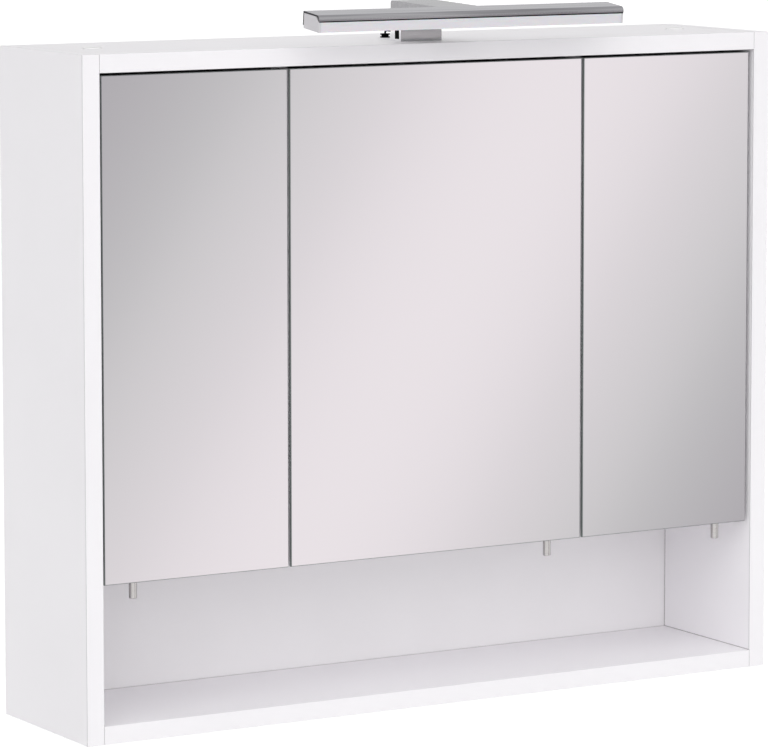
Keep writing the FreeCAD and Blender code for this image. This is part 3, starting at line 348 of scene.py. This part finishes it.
alongX = (perMm(70), perMm(5), perMm(5))    # polished strip, marks run with the bar
roundZ = (perMm(6), perMm(6), perMm(0.35))    # turned pins, marks run round the pin
evenly = (perMm(2.5), perMm(2.5), perMm(2.5))    # pressed and cast pieces, marks run no one way
finishes = {
    "white_melamine": whiteBoard("melamine-faced chipboard", melamine),
    "white_hardboard": whiteBoard("lacquered hardboard", hardboard),
    "mirror_glass": silveredGlass(),
    "clear_glass": temperedGlass(),
    # polished stainless steel: fine turned rings that hardly spread the highlight
    "satin_steel": metal(
        "polished stainless steel", "#c6c3c2", "#b4b1b0", 0.14, 0.24, roundZ, 0.03 * mm, 0.15,
        Specular_Tint=linear("#8c8c8c"),
    ),
    # nickel-plated pressed steel: bright and slightly warm, with faint rolling marks
    "nickel_steel": metal("nickel-plated steel", "#c6c2b9", "#b3afa6", 0.16, 0.3, evenly, 0.02 * mm, 0.1),
    # zinc-plated steel: cold grey with cloudy passivation
    "zinc_steel": metal("zinc-plated steel", "#b9bec4", "#a6a89f", 0.26, 0.42, evenly, 0.02 * mm, 0.15),
    # die-cast zinc: dull grey skin with flow marks
    "zinc_casting": metal("die-cast zinc", "#a2a3a5", "#8d8e90", 0.38, 0.55, evenly, 0.05 * mm, 0.3),
    # chrome-plated steel: bright, cut from strip, with faint polishing marks along the bar
    "chrome": metal(
        "chrome-plated steel", "#aeadaf", "#9a999c", 0.08, 0.18, alongX, 0.02 * mm, 0.08,
        Specular_Tint=linear("#bfbfc1"),
    ),
    "frosted_acrylic": opalAcrylic(),
    # grey ABS: an even pale grey with a soft sheen, close to the diffuser between the end caps
    "grey_plastic": moulded("grey moulded ABS", "#d6d4d8", "#cecccf", 0.4, 0.5, 0.8, 0.12, IOR=1.53),
    # white polypropylene: a colder and shinier white than the boards
    "white_plastic": moulded(
        "white moulded polypropylene", "#f2f2f2", "#ededed", 0.3, 0.42, 0.9, 0.1, IOR=1.49
    ),
    # black ABS: near black, with enough sheen to show its edges in the cabinet's shade
    "black_plastic": moulded("black moulded ABS", "#161617", "#1e1e1f", 0.35, 0.5, 0.7, 0.2, IOR=1.53),
    # flexible PVC: a dead black with no highlight to speak of
    "black_rubber": moulded(
        "black flexible PVC", "#060607", "#0b0b0c", 0.5, 0.65, 0.9, 0.15, IOR=1.53, Specular_IOR_Level=0.02
    ),
    # clear polyurethane: glossy and a little milky
    "clear_rubber": moulded(
        "clear polyurethane", "#f0f0ec", "#e9e9e4", 0.14, 0.24, 2.0, 0.1, 0.2 * mm,
        Transmission_Weight=0.3, IOR=1.5,
    ),
    # coated circuit board: a dull warm white
    "circuit_board": moulded(
        "white-coated circuit board", "#efefe8", "#e6e6dc", 0.45, 0.6, 1.5, 0.1, IOR=1.5
    ),
    "beech": beechWood(),
}

# Pieces whose finish differs from the rest of their slot, by how their names end.
ownFinishes = {
    "lamp_cover": drawnChrome("chrome-plated drawn aluminium", coverChrome),
    "lamp_base": drawnChrome("chrome-plated channel", baseChrome),
    # matt black liner: swallows the light in the channel
    "lamp_base_insert": moulded(
        "matt black ABS", "#060607", "#0b0b0c", 0.5, 0.65, 0.7, 0.2, IOR=1.53, Specular_IOR_Level=0.02
    ),
    "side_panel": whiteBoard("edge-banded chipboard", sidePanel),
    "door_board": whiteBoard("melamine-faced carrier board", carrier),
}
for name, node in nodes.items():
    own = [finish for ending, finish in ownFinishes.items() if name.endswith(ending)]
    node.data.materials.clear()
    node.data.materials.append(own[0] if own else finishes[slotOfNode[name]])
print("finishes:", len(finishes))

hairDigits = 6
hair = 10 ** -hairDigits    # points closer than this, a thousandth of a millimetre, count as one


def islands(name):
    # the points of each separate solid in a CAD node, read from a merged copy of its mesh
    copy = bmesh.new()
    copy.from_mesh(nodes[name].data)
    bmesh.ops.remove_doubles(copy, verts=copy.verts, dist=hair)
    left = dict.fromkeys(copy.verts)    # keeps the mesh's order, so the solids come out alike at each run
    groups = []
    while left:
        queue = [left.popitem()[0]]
        group = []
        while queue:
            vert = queue.pop()
            group.append(vert.co.copy())
            for edge in vert.link_edges:
                near = edge.other_vert(vert)
                if near in left:
                    del left[near]
                    queue.append(near)
        groups.append(group)
    copy.free()
    return groups


def corners(points):
    low = Vector(min(p[i] for p in points) for i in range(3))
    high = Vector(max(p[i] for p in points) for i in range(3))
    return low, high


def pieceFromMesh(name, mesh, body, slot, *replaced):
    piece = bpy.data.objects.new(name, mesh)
    bpy.context.scene.collection.objects.link(piece)
    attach(piece, body)
    if replaced:
        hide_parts(*replaced)
    return piece


# Screws: a pan head with a cross recess and a plain shank, one tree for every set of them.
screwSizes = {
    "recessWidth": 0.9 * mm, "recessShare": 1.25, "recessDepth": 1.1 * mm, "crown": 0.72,
    "headSides": 28, "shankSides": 20, "headRim": 0.9,
}


def screwTree():
    tree = bpy.data.node_groups.new("cross recess screws", "GeometryNodeTree")
    tree.interface.new_socket("Geometry", in_out="INPUT", socket_type="NodeSocketGeometry")
    inputs = ("Head Radius", "Head Height", "Shank Radius", "Shank Length", "Recess Width", "Recess Length",
              "Recess Depth", "Crown Radius")
    for name in inputs:
        tree.interface.new_socket(name, in_out="INPUT", socket_type="NodeSocketFloat")
    tree.interface.new_socket("Finish", in_out="INPUT", socket_type="NodeSocketMaterial")
    tree.interface.new_socket("Geometry", in_out="OUTPUT", socket_type="NodeSocketGeometry")
    given = addNode(tree, "NodeGroupInput").outputs
    head = addNode(
        tree, "GeometryNodeMeshCone",
        {"Vertices": screwSizes["headSides"], "Side Segments": 1, "Radius Top": given["Crown Radius"],
         "Radius Bottom": given["Head Radius"], "Depth": given["Head Height"]},
    )
    bars = []
    for turned in (False, True):
        wide, long = given["Recess Width"], given["Recess Length"]
        size = addNode(
            tree, "ShaderNodeCombineXYZ",
            {"X": long if turned else wide, "Y": wide if turned else long, "Z": given["Recess Depth"]},
        )
        bar = addNode(tree, "GeometryNodeMeshCube", {"Size": size.outputs["Vector"]})
        lift = addNode(tree, "ShaderNodeCombineXYZ", {"Z": given["Head Height"]})
        bars.append(addNode(
            tree, "GeometryNodeTransform",
            {"Geometry": bar.outputs["Mesh"], "Translation": lift.outputs["Vector"]},
        ))
    cross = addNode(tree, "GeometryNodeMeshBoolean", operation="UNION", solver="EXACT")
    for bar in bars:
        tree.links.new(bar.outputs["Geometry"], cross.inputs["Mesh 2"])
    recessed = addNode(
        tree, "GeometryNodeMeshBoolean",
        {"Mesh 1": head.outputs["Mesh"], "Mesh 2": cross.outputs["Mesh"]},
        operation="DIFFERENCE", solver="EXACT",
    )
    shank = addNode(
        tree, "GeometryNodeMeshCylinder",
        {"Vertices": screwSizes["shankSides"], "Radius": given["Shank Radius"],
         "Depth": given["Shank Length"]},
    )
    half = addNode(tree, "ShaderNodeMath", {0: given["Shank Length"], 1: -0.5}, operation="MULTIPLY")
    sink = addNode(tree, "ShaderNodeCombineXYZ", {"Z": half.outputs["Value"]})
    lowered = addNode(
        tree, "GeometryNodeTransform",
        {"Geometry": shank.outputs["Mesh"], "Translation": sink.outputs["Vector"]},
    )
    whole = addNode(tree, "GeometryNodeJoinGeometry")
    tree.links.new(recessed.outputs["Mesh"], whole.inputs["Geometry"])
    tree.links.new(lowered.outputs["Geometry"], whole.inputs["Geometry"])
    facing = addNode(tree, "GeometryNodeInputNamedAttribute", {"Name": "facing"}, data_type="FLOAT_VECTOR")
    turn = addNode(
        tree, "FunctionNodeAlignRotationToVector", {"Vector": facing.outputs["Attribute"]}, axis="Z"
    )
    points = addNode(tree, "GeometryNodeMeshToPoints", {"Mesh": given["Geometry"]})
    placed = addNode(
        tree, "GeometryNodeInstanceOnPoints",
        {"Points": points.outputs["Points"], "Instance": whole.outputs["Geometry"],
         "Rotation": turn.outputs["Rotation"]},
    )
    real = addNode(tree, "GeometryNodeRealizeInstances", {"Geometry": placed.outputs["Instances"]})
    painted = addNode(
        tree, "GeometryNodeSetMaterial",
        {"Geometry": real.outputs["Geometry"], "Material": given["Finish"]},
    )
    addNode(tree, "NodeGroupOutput", {"Geometry": painted.outputs["Geometry"]})
    return tree


screws = screwTree()


def driveScrews(name, spots, sizes, finish):
    # spots are (seat point, direction the head faces) pairs
    mesh = bpy.data.meshes.new(name + "_spots")
    mesh.from_pydata([seat for seat, way in spots], [], [])
    facing = mesh.attributes.new("facing", "FLOAT_VECTOR", "POINT")
    facing.data.foreach_set("vector", [part for seat, way in spots for part in way])
    holder = bpy.data.objects.new(name + "_spots", mesh)
    bpy.context.scene.collection.objects.link(holder)
    drive = holder.modifiers.new("screws", "NODES")
    drive.node_group = screws
    wanted = {
        "Head Radius": sizes["headRadius"],
        "Head Height": sizes["headHeight"],
        "Shank Radius": sizes["shankRadius"],
        "Shank Length": sizes["shankLength"],
        "Recess Width": screwSizes["recessWidth"],
        "Recess Length": screwSizes["recessShare"] * sizes["headRadius"],
        "Recess Depth": 2 * screwSizes["recessDepth"],
        "Crown Radius": screwSizes["crown"] * sizes["headRadius"],
        "Finish": finish,
    }
    for item in screws.interface.items_tree:
        if item.in_out == "INPUT" and item.name in wanted:
            drive[item.identifier] = wanted[item.name]
    made = bpy.data.meshes.new_from_object(holder.evaluated_get(bpy.context.evaluated_depsgraph_get()))
    made.name = name
    bpy.data.objects.remove(holder)
    return made


def screwSpot(points):
    # a screw's seat, facing and sizes, read from its CAD solid: the head is the wider end
    low, high = corners(points)
    size = high - low
    axis = max(range(3), key=lambda i: size[i])
    side = (axis + 1) % 3
    middle = (low + high) / 2
    radius = size[side] / 2
    wide = [p for p in points if abs(p[side] - middle[side]) > screwSizes["headRim"] * radius]
    levels = sorted({round(p[axis], hairDigits) for p in wide})
    up = 1 if middle[axis] < levels[0] else -1
    seatLevel = levels[0] if up > 0 else levels[-1]
    seat = middle.copy()
    seat[axis] = seatLevel
    facing = Vector((0, 0, 0))
    facing[axis] = up
    thin = [abs(p[side] - middle[side]) for p in points if (p[axis] - seatLevel) * up < -hair]
    sizes = {
        "headRadius": radius,
        "headHeight": levels[-1] - levels[0],
        "shankRadius": max(thin),
        "shankLength": size[axis] - (levels[-1] - levels[0]),
    }
    return seat, facing, sizes


screwNodes = (
    "hanger_screws", "hinge_plate_screws", "hinge_arm_screws", "lamp_base_screws", "power_box_screws",
)
for name in screwNodes:
    found = [screwSpot(points) for points in islands(name)]
    spots = [(seat, way) for seat, way, sizes in found]
    mesh = driveScrews(name, spots, found[0][2], finishes["zinc_steel"])
    pieceFromMesh(name + "_pan_head", mesh, bodyOfNode[name], "zinc_steel", name)
    print(name, len(found), "screws")

# Two short screws hold each hinge cup's wings to its door.
cupScrews = {"flangeRadius": 20 * mm, "wingMiddle": 10 * mm, "wingReach": 22.5 * mm}
cupScrewSize = {
    "headRadius": 3.2 * mm, "headHeight": 1.3 * mm, "shankRadius": 1.6 * mm, "shankLength": 1.0 * mm,
}
for side in ("left", "middle", "right"):
    spots = []
    for points in islands(f"{side}_hinge_cups"):
        low, high = corners(points)
        if side == "left":
            across = low.x + cupScrews["flangeRadius"] - cupScrews["wingMiddle"]
        else:
            across = high.x - cupScrews["flangeRadius"] + cupScrews["wingMiddle"]
        level = (low.z + high.z) / 2
        for step in (-1, 1):
            seat = Vector((across, high.y, level + step * cupScrews["wingReach"]))
            spots.append((seat, Vector((0, 1, 0))))
    mesh = driveScrews(f"{side}_cup_screws", spots, cupScrewSize, finishes["nickel_steel"])
    pieceFromMesh(f"{side}_cup_screws", mesh, f"{side}_door", "nickel_steel")


def lathe(profile, count, origin, facing):
    # a closed solid of revolution: profile is (radius, height) pairs from the axis to the axis
    shape = bmesh.new()
    turns = [(math.cos(2 * math.pi * i / count), math.sin(2 * math.pi * i / count)) for i in range(count)]
    rings = []
    for radius, height in profile:
        if radius == 0:
            rings.append([shape.verts.new((0, 0, height))])
        else:
            rings.append([shape.verts.new((radius * x, radius * y, height)) for x, y in turns])
    for first, second in zip(rings, rings[1:]):
        for i in range(count):
            ring = [first[i % len(first)], first[(i + 1) % len(first)],
                    second[(i + 1) % len(second)], second[i % len(second)]]
            shape.faces.new(list(dict.fromkeys(ring)))
    bmesh.ops.recalc_face_normals(shape, faces=shape.faces)
    place = Matrix.Translation(origin) @ facing.to_track_quat("Z", "Y").to_matrix().to_4x4()
    bmesh.ops.transform(shape, matrix=place, verts=shape.verts)
    return shape


def joinShapes(name, shapes, finish, smooth=40):
    whole = bmesh.new()
    for shape in shapes:
        part = bpy.data.meshes.new("part")
        shape.to_mesh(part)
        shape.free()
        whole.from_mesh(part)
        bpy.data.meshes.remove(part)
    mesh = bpy.data.meshes.new(name)
    whole.to_mesh(mesh)
    whole.free()
    mesh.materials.append(finish)
    mesh.shade_smooth()
    mesh.set_sharp_from_angle(angle=math.radians(smooth))
    return mesh


# Cam cover caps: thin moulded discs with a rolled rim and a slightly raised middle.
capShape = {"roll": 0.45, "rollSteps": 6, "rim": 0.86, "dip": 0.8, "dish": 0.25 * mm, "sides": 48}
capShapes = []
for points in islands("cam_cover_caps"):
    low, high = corners(points)
    radius = (high.x - low.x) / 2
    thick = high.z - low.z
    up = 1 if low.z > 0 else -1
    base = Vector(((low.x + high.x) / 2, (low.y + high.y) / 2, low.z if up > 0 else high.z))
    roll = capShape["roll"] * thick
    steps = capShape["rollSteps"]
    arc = [math.radians(90 - 90 / steps * i) for i in range(steps + 1)]
    profile = [(0, 0), (radius, 0)]
    profile += [(radius - roll + roll * math.sin(a), thick - roll + roll * math.cos(a)) for a in arc]
    profile += [(radius * capShape["rim"], thick), (radius * capShape["dip"], thick - capShape["dish"])]
    profile.append((0, thick))
    capShapes.append(lathe(profile, capShape["sides"], base, Vector((0, 0, up))))
capMesh = joinShapes("cam_caps", capShapes, finishes["white_plastic"])
pieceFromMesh("cam_caps", capMesh, "carcass", "white_plastic", "cam_cover_caps")

# Door bumpers: small clear domes stuck to the shelf's front edge.
domeShape = {"steps": 8, "sides": 32}
domeShapes = []
for points in islands("door_bumpers"):
    low, high = corners(points)
    radius = (high.x - low.x) / 2
    tall = high.y - low.y
    base = Vector(((low.x + high.x) / 2, high.y, (low.z + high.z) / 2))
    arc = [math.radians(90 * i / domeShape["steps"]) for i in range(domeShape["steps"])]
    profile = [(0, 0)] + [(radius * math.cos(a), tall * math.sin(a)) for a in arc] + [(0, tall)]
    domeShapes.append(lathe(profile, domeShape["sides"], base, Vector((0, -1, 0))))
domeMesh = joinShapes("bumper_domes", domeShapes, finishes["clear_rubber"])
pieceFromMesh("bumper_domes", domeMesh, "carcass", "clear_rubber", "door_bumpers")

barTilt = math.radians(6.5)
levelled = Matrix.Rotation(-barTilt, 3, "X")    # turns the lamp's tilted bar level
tilted = levelled.inverted()

# Painted shadow: a thin black bead under the lamp cover's lip, along the whole bar, for the dark line there.
lipShadowBead = {
    "tall": 1.1 * mm, "proud": 0.17 * mm, "set": 0.22 * mm, "inset": 0.3 * mm, "lip": 1 * mm, "steps": 10,
}
coverPoints = [levelled @ vert.co for vert in nodes["lamp_cover"].data.vertices]
coverLow, coverHigh = corners(coverPoints)
lipLow = min(point.z for point in coverPoints if point.y < coverLow.y + lipShadowBead["lip"])
bead = []
for i in range(lipShadowBead["steps"] + 1):
    angle = math.pi * (i / lipShadowBead["steps"] - 0.5)
    beadY = coverLow.y + lipShadowBead["set"] - lipShadowBead["proud"] * math.cos(angle)
    bead.append((beadY, lipLow + lipShadowBead["tall"] * (math.sin(angle) - 1) / 2))
shadowBead = bmesh.new()
rings = []
for x in (coverLow.x + lipShadowBead["inset"], coverHigh.x - lipShadowBead["inset"]):
    rings.append([shadowBead.verts.new(tilted @ Vector((x, y, z))) for y, z in bead])
for i in range(len(bead)):
    j = (i + 1) % len(bead)
    shadowBead.faces.new((rings[0][i], rings[0][j], rings[1][j], rings[1][i]))
for ring in rings:
    shadowBead.faces.new(ring)
bmesh.ops.recalc_face_normals(shadowBead, faces=shadowBead.faces)
shadowBeadMesh = joinShapes("lip_shadow_bead", [shadowBead], finishes["black_rubber"])
pieceFromMesh("lip_shadow_bead", shadowBeadMesh, "carcass", "black_rubber")

# Diffuser and its end caps: the solids' section with a deeper belly, a tall bright band under the cover.
belly = {"drop": 2.6 * mm, "floor": 1.8 * mm}    # only the section's floor goes down, and the walls lengthen
for piece, name in {"opal_diffuser": "lamp_diffuser", "diffuser_end_caps": "lamp_end_caps"}.items():
    mesh = nodes[name].data.copy()
    mesh.name = piece
    spots = [levelled @ vert.co for vert in mesh.vertices]
    bottom = min(spot.z for spot in spots)
    for vert, spot in zip(mesh.vertices, spots):
        if spot.z < bottom + belly["floor"]:
            vert.co = tilted @ (spot - Vector((0, 0, belly["drop"])))
    pieceFromMesh(piece, mesh, bodyOfNode[name], slotOfNode[name], name)
print("small pieces made")

# Studio: a pale floor far below the hung cabinet, a soft sky with broad glows, two soft lamps and a card for
# the mirrors.
studio = {
    "floorLevel": -2.6, "floorSize": 120.0, "floorLift": 0.46, "floorTones": ("#f4f4f4", "#f1f1f1"),
    "floorCloud": 2500, "sky": 0.3, "glowFade": 4.0,
}
softboxes = {
    "left front": {"way": (-0.66, -0.66, 0.34), "glow": 1.07},
    "left side": {"way": (-0.81, -0.3, 0.5), "glow": 0.45},
    "high front": {"way": (0, -0.82, 0.57), "glow": 0.53},
    "overhead": {"way": (0, -0.5, 0.87), "glow": 0.3},
    "right front": {"way": (0.6, -0.72, 0.34), "glow": 0.3},
}


def stagePlane(name, centre, across, up, material):
    # a flat stage card with its face towards across x up
    mesh = bpy.data.meshes.new(name)
    ends = [(-1, -1), (1, -1), (1, 1), (-1, 1)]
    mesh.from_pydata([centre + across * a + up * b for a, b in ends], [], [(0, 1, 2, 3)])
    mesh.materials.append(material)
    plane = bpy.data.objects.new(name, mesh)
    bpy.context.scene.collection.objects.link(plane)
    return plane


def showsBackground(tree):
    # 1 for rays from the camera, or by way of metal or glass
    rays = addNode(tree, "ShaderNodeLightPath")
    shown = rays.outputs["Is Camera Ray"]
    for ray in ("Is Glossy Ray", "Is Transmission Ray"):
        either = addNode(tree, "ShaderNodeMath", {0: shown, 1: rays.outputs[ray]}, operation="MAXIMUM")
        shown = either.outputs["Value"]
    return shown


def floorPaint():
    material, tree, shader = newMaterial("pale studio floor", Roughness=0.9, Emission_Color=(1, 1, 1, 1))
    place = addNode(tree, "ShaderNodeTexCoord").outputs["Object"]
    cloud = addNode(tree, "ShaderNodeTexNoise", {"Vector": place, "Scale": perMm(studio["floorCloud"])})
    twoTone(tree, shader, cloud.outputs["Fac"], *studio["floorTones"])
    lift = addNode(
        tree, "ShaderNodeMath", {0: showsBackground(tree), 1: studio["floorLift"]}, operation="MULTIPLY"
    )
    tree.links.new(lift.outputs["Value"], shader.inputs["Emission Strength"])
    return material


floorHalf = studio["floorSize"] / 2
stagePlane(
    "floor", Vector((0, 0, studio["floorLevel"])), Vector((floorHalf, 0, 0)), Vector((0, floorHalf, 0)),
    floorPaint(),
)

world = bpy.data.worlds.new("soft sky")
world.use_nodes = True
sky = world.node_tree
way = addNode(sky, "ShaderNodeTexCoord").outputs["Generated"]
dome = addNode(sky, "ShaderNodeMath", {0: studio["sky"], 1: 0.0})
for box in softboxes.values():
    # a broad glow in the sky that fades away from its middle
    ahead = addNode(sky, "ShaderNodeVectorMath", {0: way, 1: box["way"]}, operation="DOT_PRODUCT")
    front = addNode(sky, "ShaderNodeMath", {0: ahead.outputs["Value"], 1: 0.0}, operation="MAXIMUM")
    fade = addNode(
        sky, "ShaderNodeMath", {0: front.outputs["Value"], 1: studio["glowFade"]}, operation="POWER"
    )
    dome = addNode(
        sky, "ShaderNodeMath", {0: fade.outputs["Value"], 1: box["glow"], 2: dome.outputs["Value"]},
        operation="MULTIPLY_ADD",
    )
brightness = addNode(
    sky, "ShaderNodeMapRange", {"Value": showsBackground(sky), "To Min": dome.outputs["Value"], "To Max": 1.0}
)
sky.links.new(brightness.outputs["Result"], sky.nodes["Background"].inputs["Strength"])
sky.nodes["Background"].inputs["Color"].default_value = (1, 1, 1, 1)
bpy.context.scene.world = world

keyLights = {
    "front key": {"place": (-0.8, -2.6, 1.9), "aim": (0, -0.16, -0.25), "size": 1.6, "power": 3.4},
    "rear fill": {"place": (0.9, 2.6, -0.9), "aim": (0, 0, -0.25), "size": 1.6, "power": 24},
}
for name, light in keyLights.items():
    lamp = bpy.data.lights.new(name, "AREA")
    lamp.shape = "DISK"
    lamp.size = light["size"]
    lamp.energy = light["power"]
    holder = bpy.data.objects.new(name, lamp)
    aim = Vector(light["aim"]) - Vector(light["place"])
    turn = aim.to_track_quat("-Z", "Y").to_matrix().to_4x4()
    holder.matrix_world = Matrix.Translation(light["place"]) @ turn
    holder.visible_camera = False
    holder.visible_glossy = False
    bpy.context.scene.collection.objects.link(holder)

# Camera: a long lens from the left and a little above, framed on 768 x 748.
lens = {
    "place": (-2.0634, -3.58321, 0.28617), "down": 6.15068, "right": 30.84926,
    "focal": 210.9395, "sensor": 36, "shiftX": -0.04825, "shiftY": -0.13785, "farthest": 200,
}
camera = bpy.data.cameras.new("photo camera")
camera.lens = lens["focal"]
camera.sensor_width = lens["sensor"]
camera.sensor_fit = "HORIZONTAL"
camera.shift_x = lens["shiftX"]
camera.shift_y = lens["shiftY"]
camera.clip_end = lens["farthest"]
eye = bpy.data.objects.new("photo camera", camera)
eye.location = lens["place"]
eye.rotation_euler = (math.radians(90 - lens["down"]), 0, math.radians(-lens["right"]))
bpy.context.scene.collection.objects.link(eye)
bpy.context.scene.camera = eye

# Mirror card: a broad slanting glow, bright along its middle, that only reflections see.
card = {
    "distance": 3.0, "slant": math.radians(33), "glow": ("#b8b6b9", "#d0cfd0", "#e8e4e6", "#f4eff1"),
    "spareWide": 1.6, "spareTall": 1.25,
}
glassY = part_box("middle_mirror")[0][1]
glassLow = Vector(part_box("left_mirror")[0])
glassHigh = Vector(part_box("right_mirror")[1])
mirroredEye = Vector((eye.location.x, 2 * glassY - eye.location.y, eye.location.z))
reach = (mirroredEye.y - glassY + card["distance"]) / (mirroredEye.y - glassY)


def onCard(x, z):
    # the place on the card that the camera sees at a place on the glass
    return mirroredEye + (Vector((x, glassY, z)) - mirroredEye) * reach


def cardGlow():
    material = bpy.data.materials.new("mirror card glow")
    material.use_nodes = True
    tree = material.node_tree
    tree.nodes.clear()
    # from the upper left corner to the lower right
    across = Vector((math.cos(card["slant"]), 0, -math.sin(card["slant"])))
    start = across.dot(onCard(glassLow.x, glassHigh.z))
    end = across.dot(onCard(glassHigh.x, glassLow.z))
    place = addNode(tree, "ShaderNodeTexCoord").outputs["Object"]
    slant = addNode(tree, "ShaderNodeVectorMath", {0: place, 1: across}, operation="DOT_PRODUCT")
    share = addNode(
        tree, "ShaderNodeMapRange", {"Value": slant.outputs["Value"], "From Min": start, "From Max": end}
    )
    glow = addNode(tree, "ShaderNodeValToRGB", {"Fac": share.outputs["Result"]})
    glow.color_ramp.interpolation = "CARDINAL"
    stops = card["glow"] + card["glow"][-2::-1]    # dim at both corners, brightest halfway
    ramp = glow.color_ramp.elements
    ramp[0].color = linear(stops[0])
    ramp[1].color = linear(stops[-1])
    for i, tone in enumerate(stops[1:-1], 1):
        ramp.new(i / (len(stops) - 1)).color = linear(tone)
    light = addNode(tree, "ShaderNodeEmission", {"Color": glow.outputs["Color"], "Strength": 1.0})
    addNode(tree, "ShaderNodeOutputMaterial", {"Surface": light.outputs["Emission"]})
    return material


cardLow = onCard(glassLow.x, glassLow.z)
cardHigh = onCard(glassHigh.x, glassHigh.z)
cardMiddle = (cardLow + cardHigh) / 2
cardHalf = (cardHigh - cardLow) / 2
cardAcross = Vector((-card["spareWide"] * cardHalf.x, 0, 0))
cardUp = Vector((0, 0, card["spareTall"] * cardHalf.z))
glowCard = stagePlane("mirror card", cardMiddle, cardAcross, cardUp, cardGlow())
glowCard.visible_camera = False
glowCard.visible_diffuse = False
glowCard.visible_shadow = False
glowCard.visible_transmission = False
glowCard.visible_volume_scatter = False
print("studio and camera set")

bpy.context.scene.view_settings.view_transform = "Standard"
bpy.context.scene.cycles.glossy_bounces = 12    # two open doors' mirrors face each other
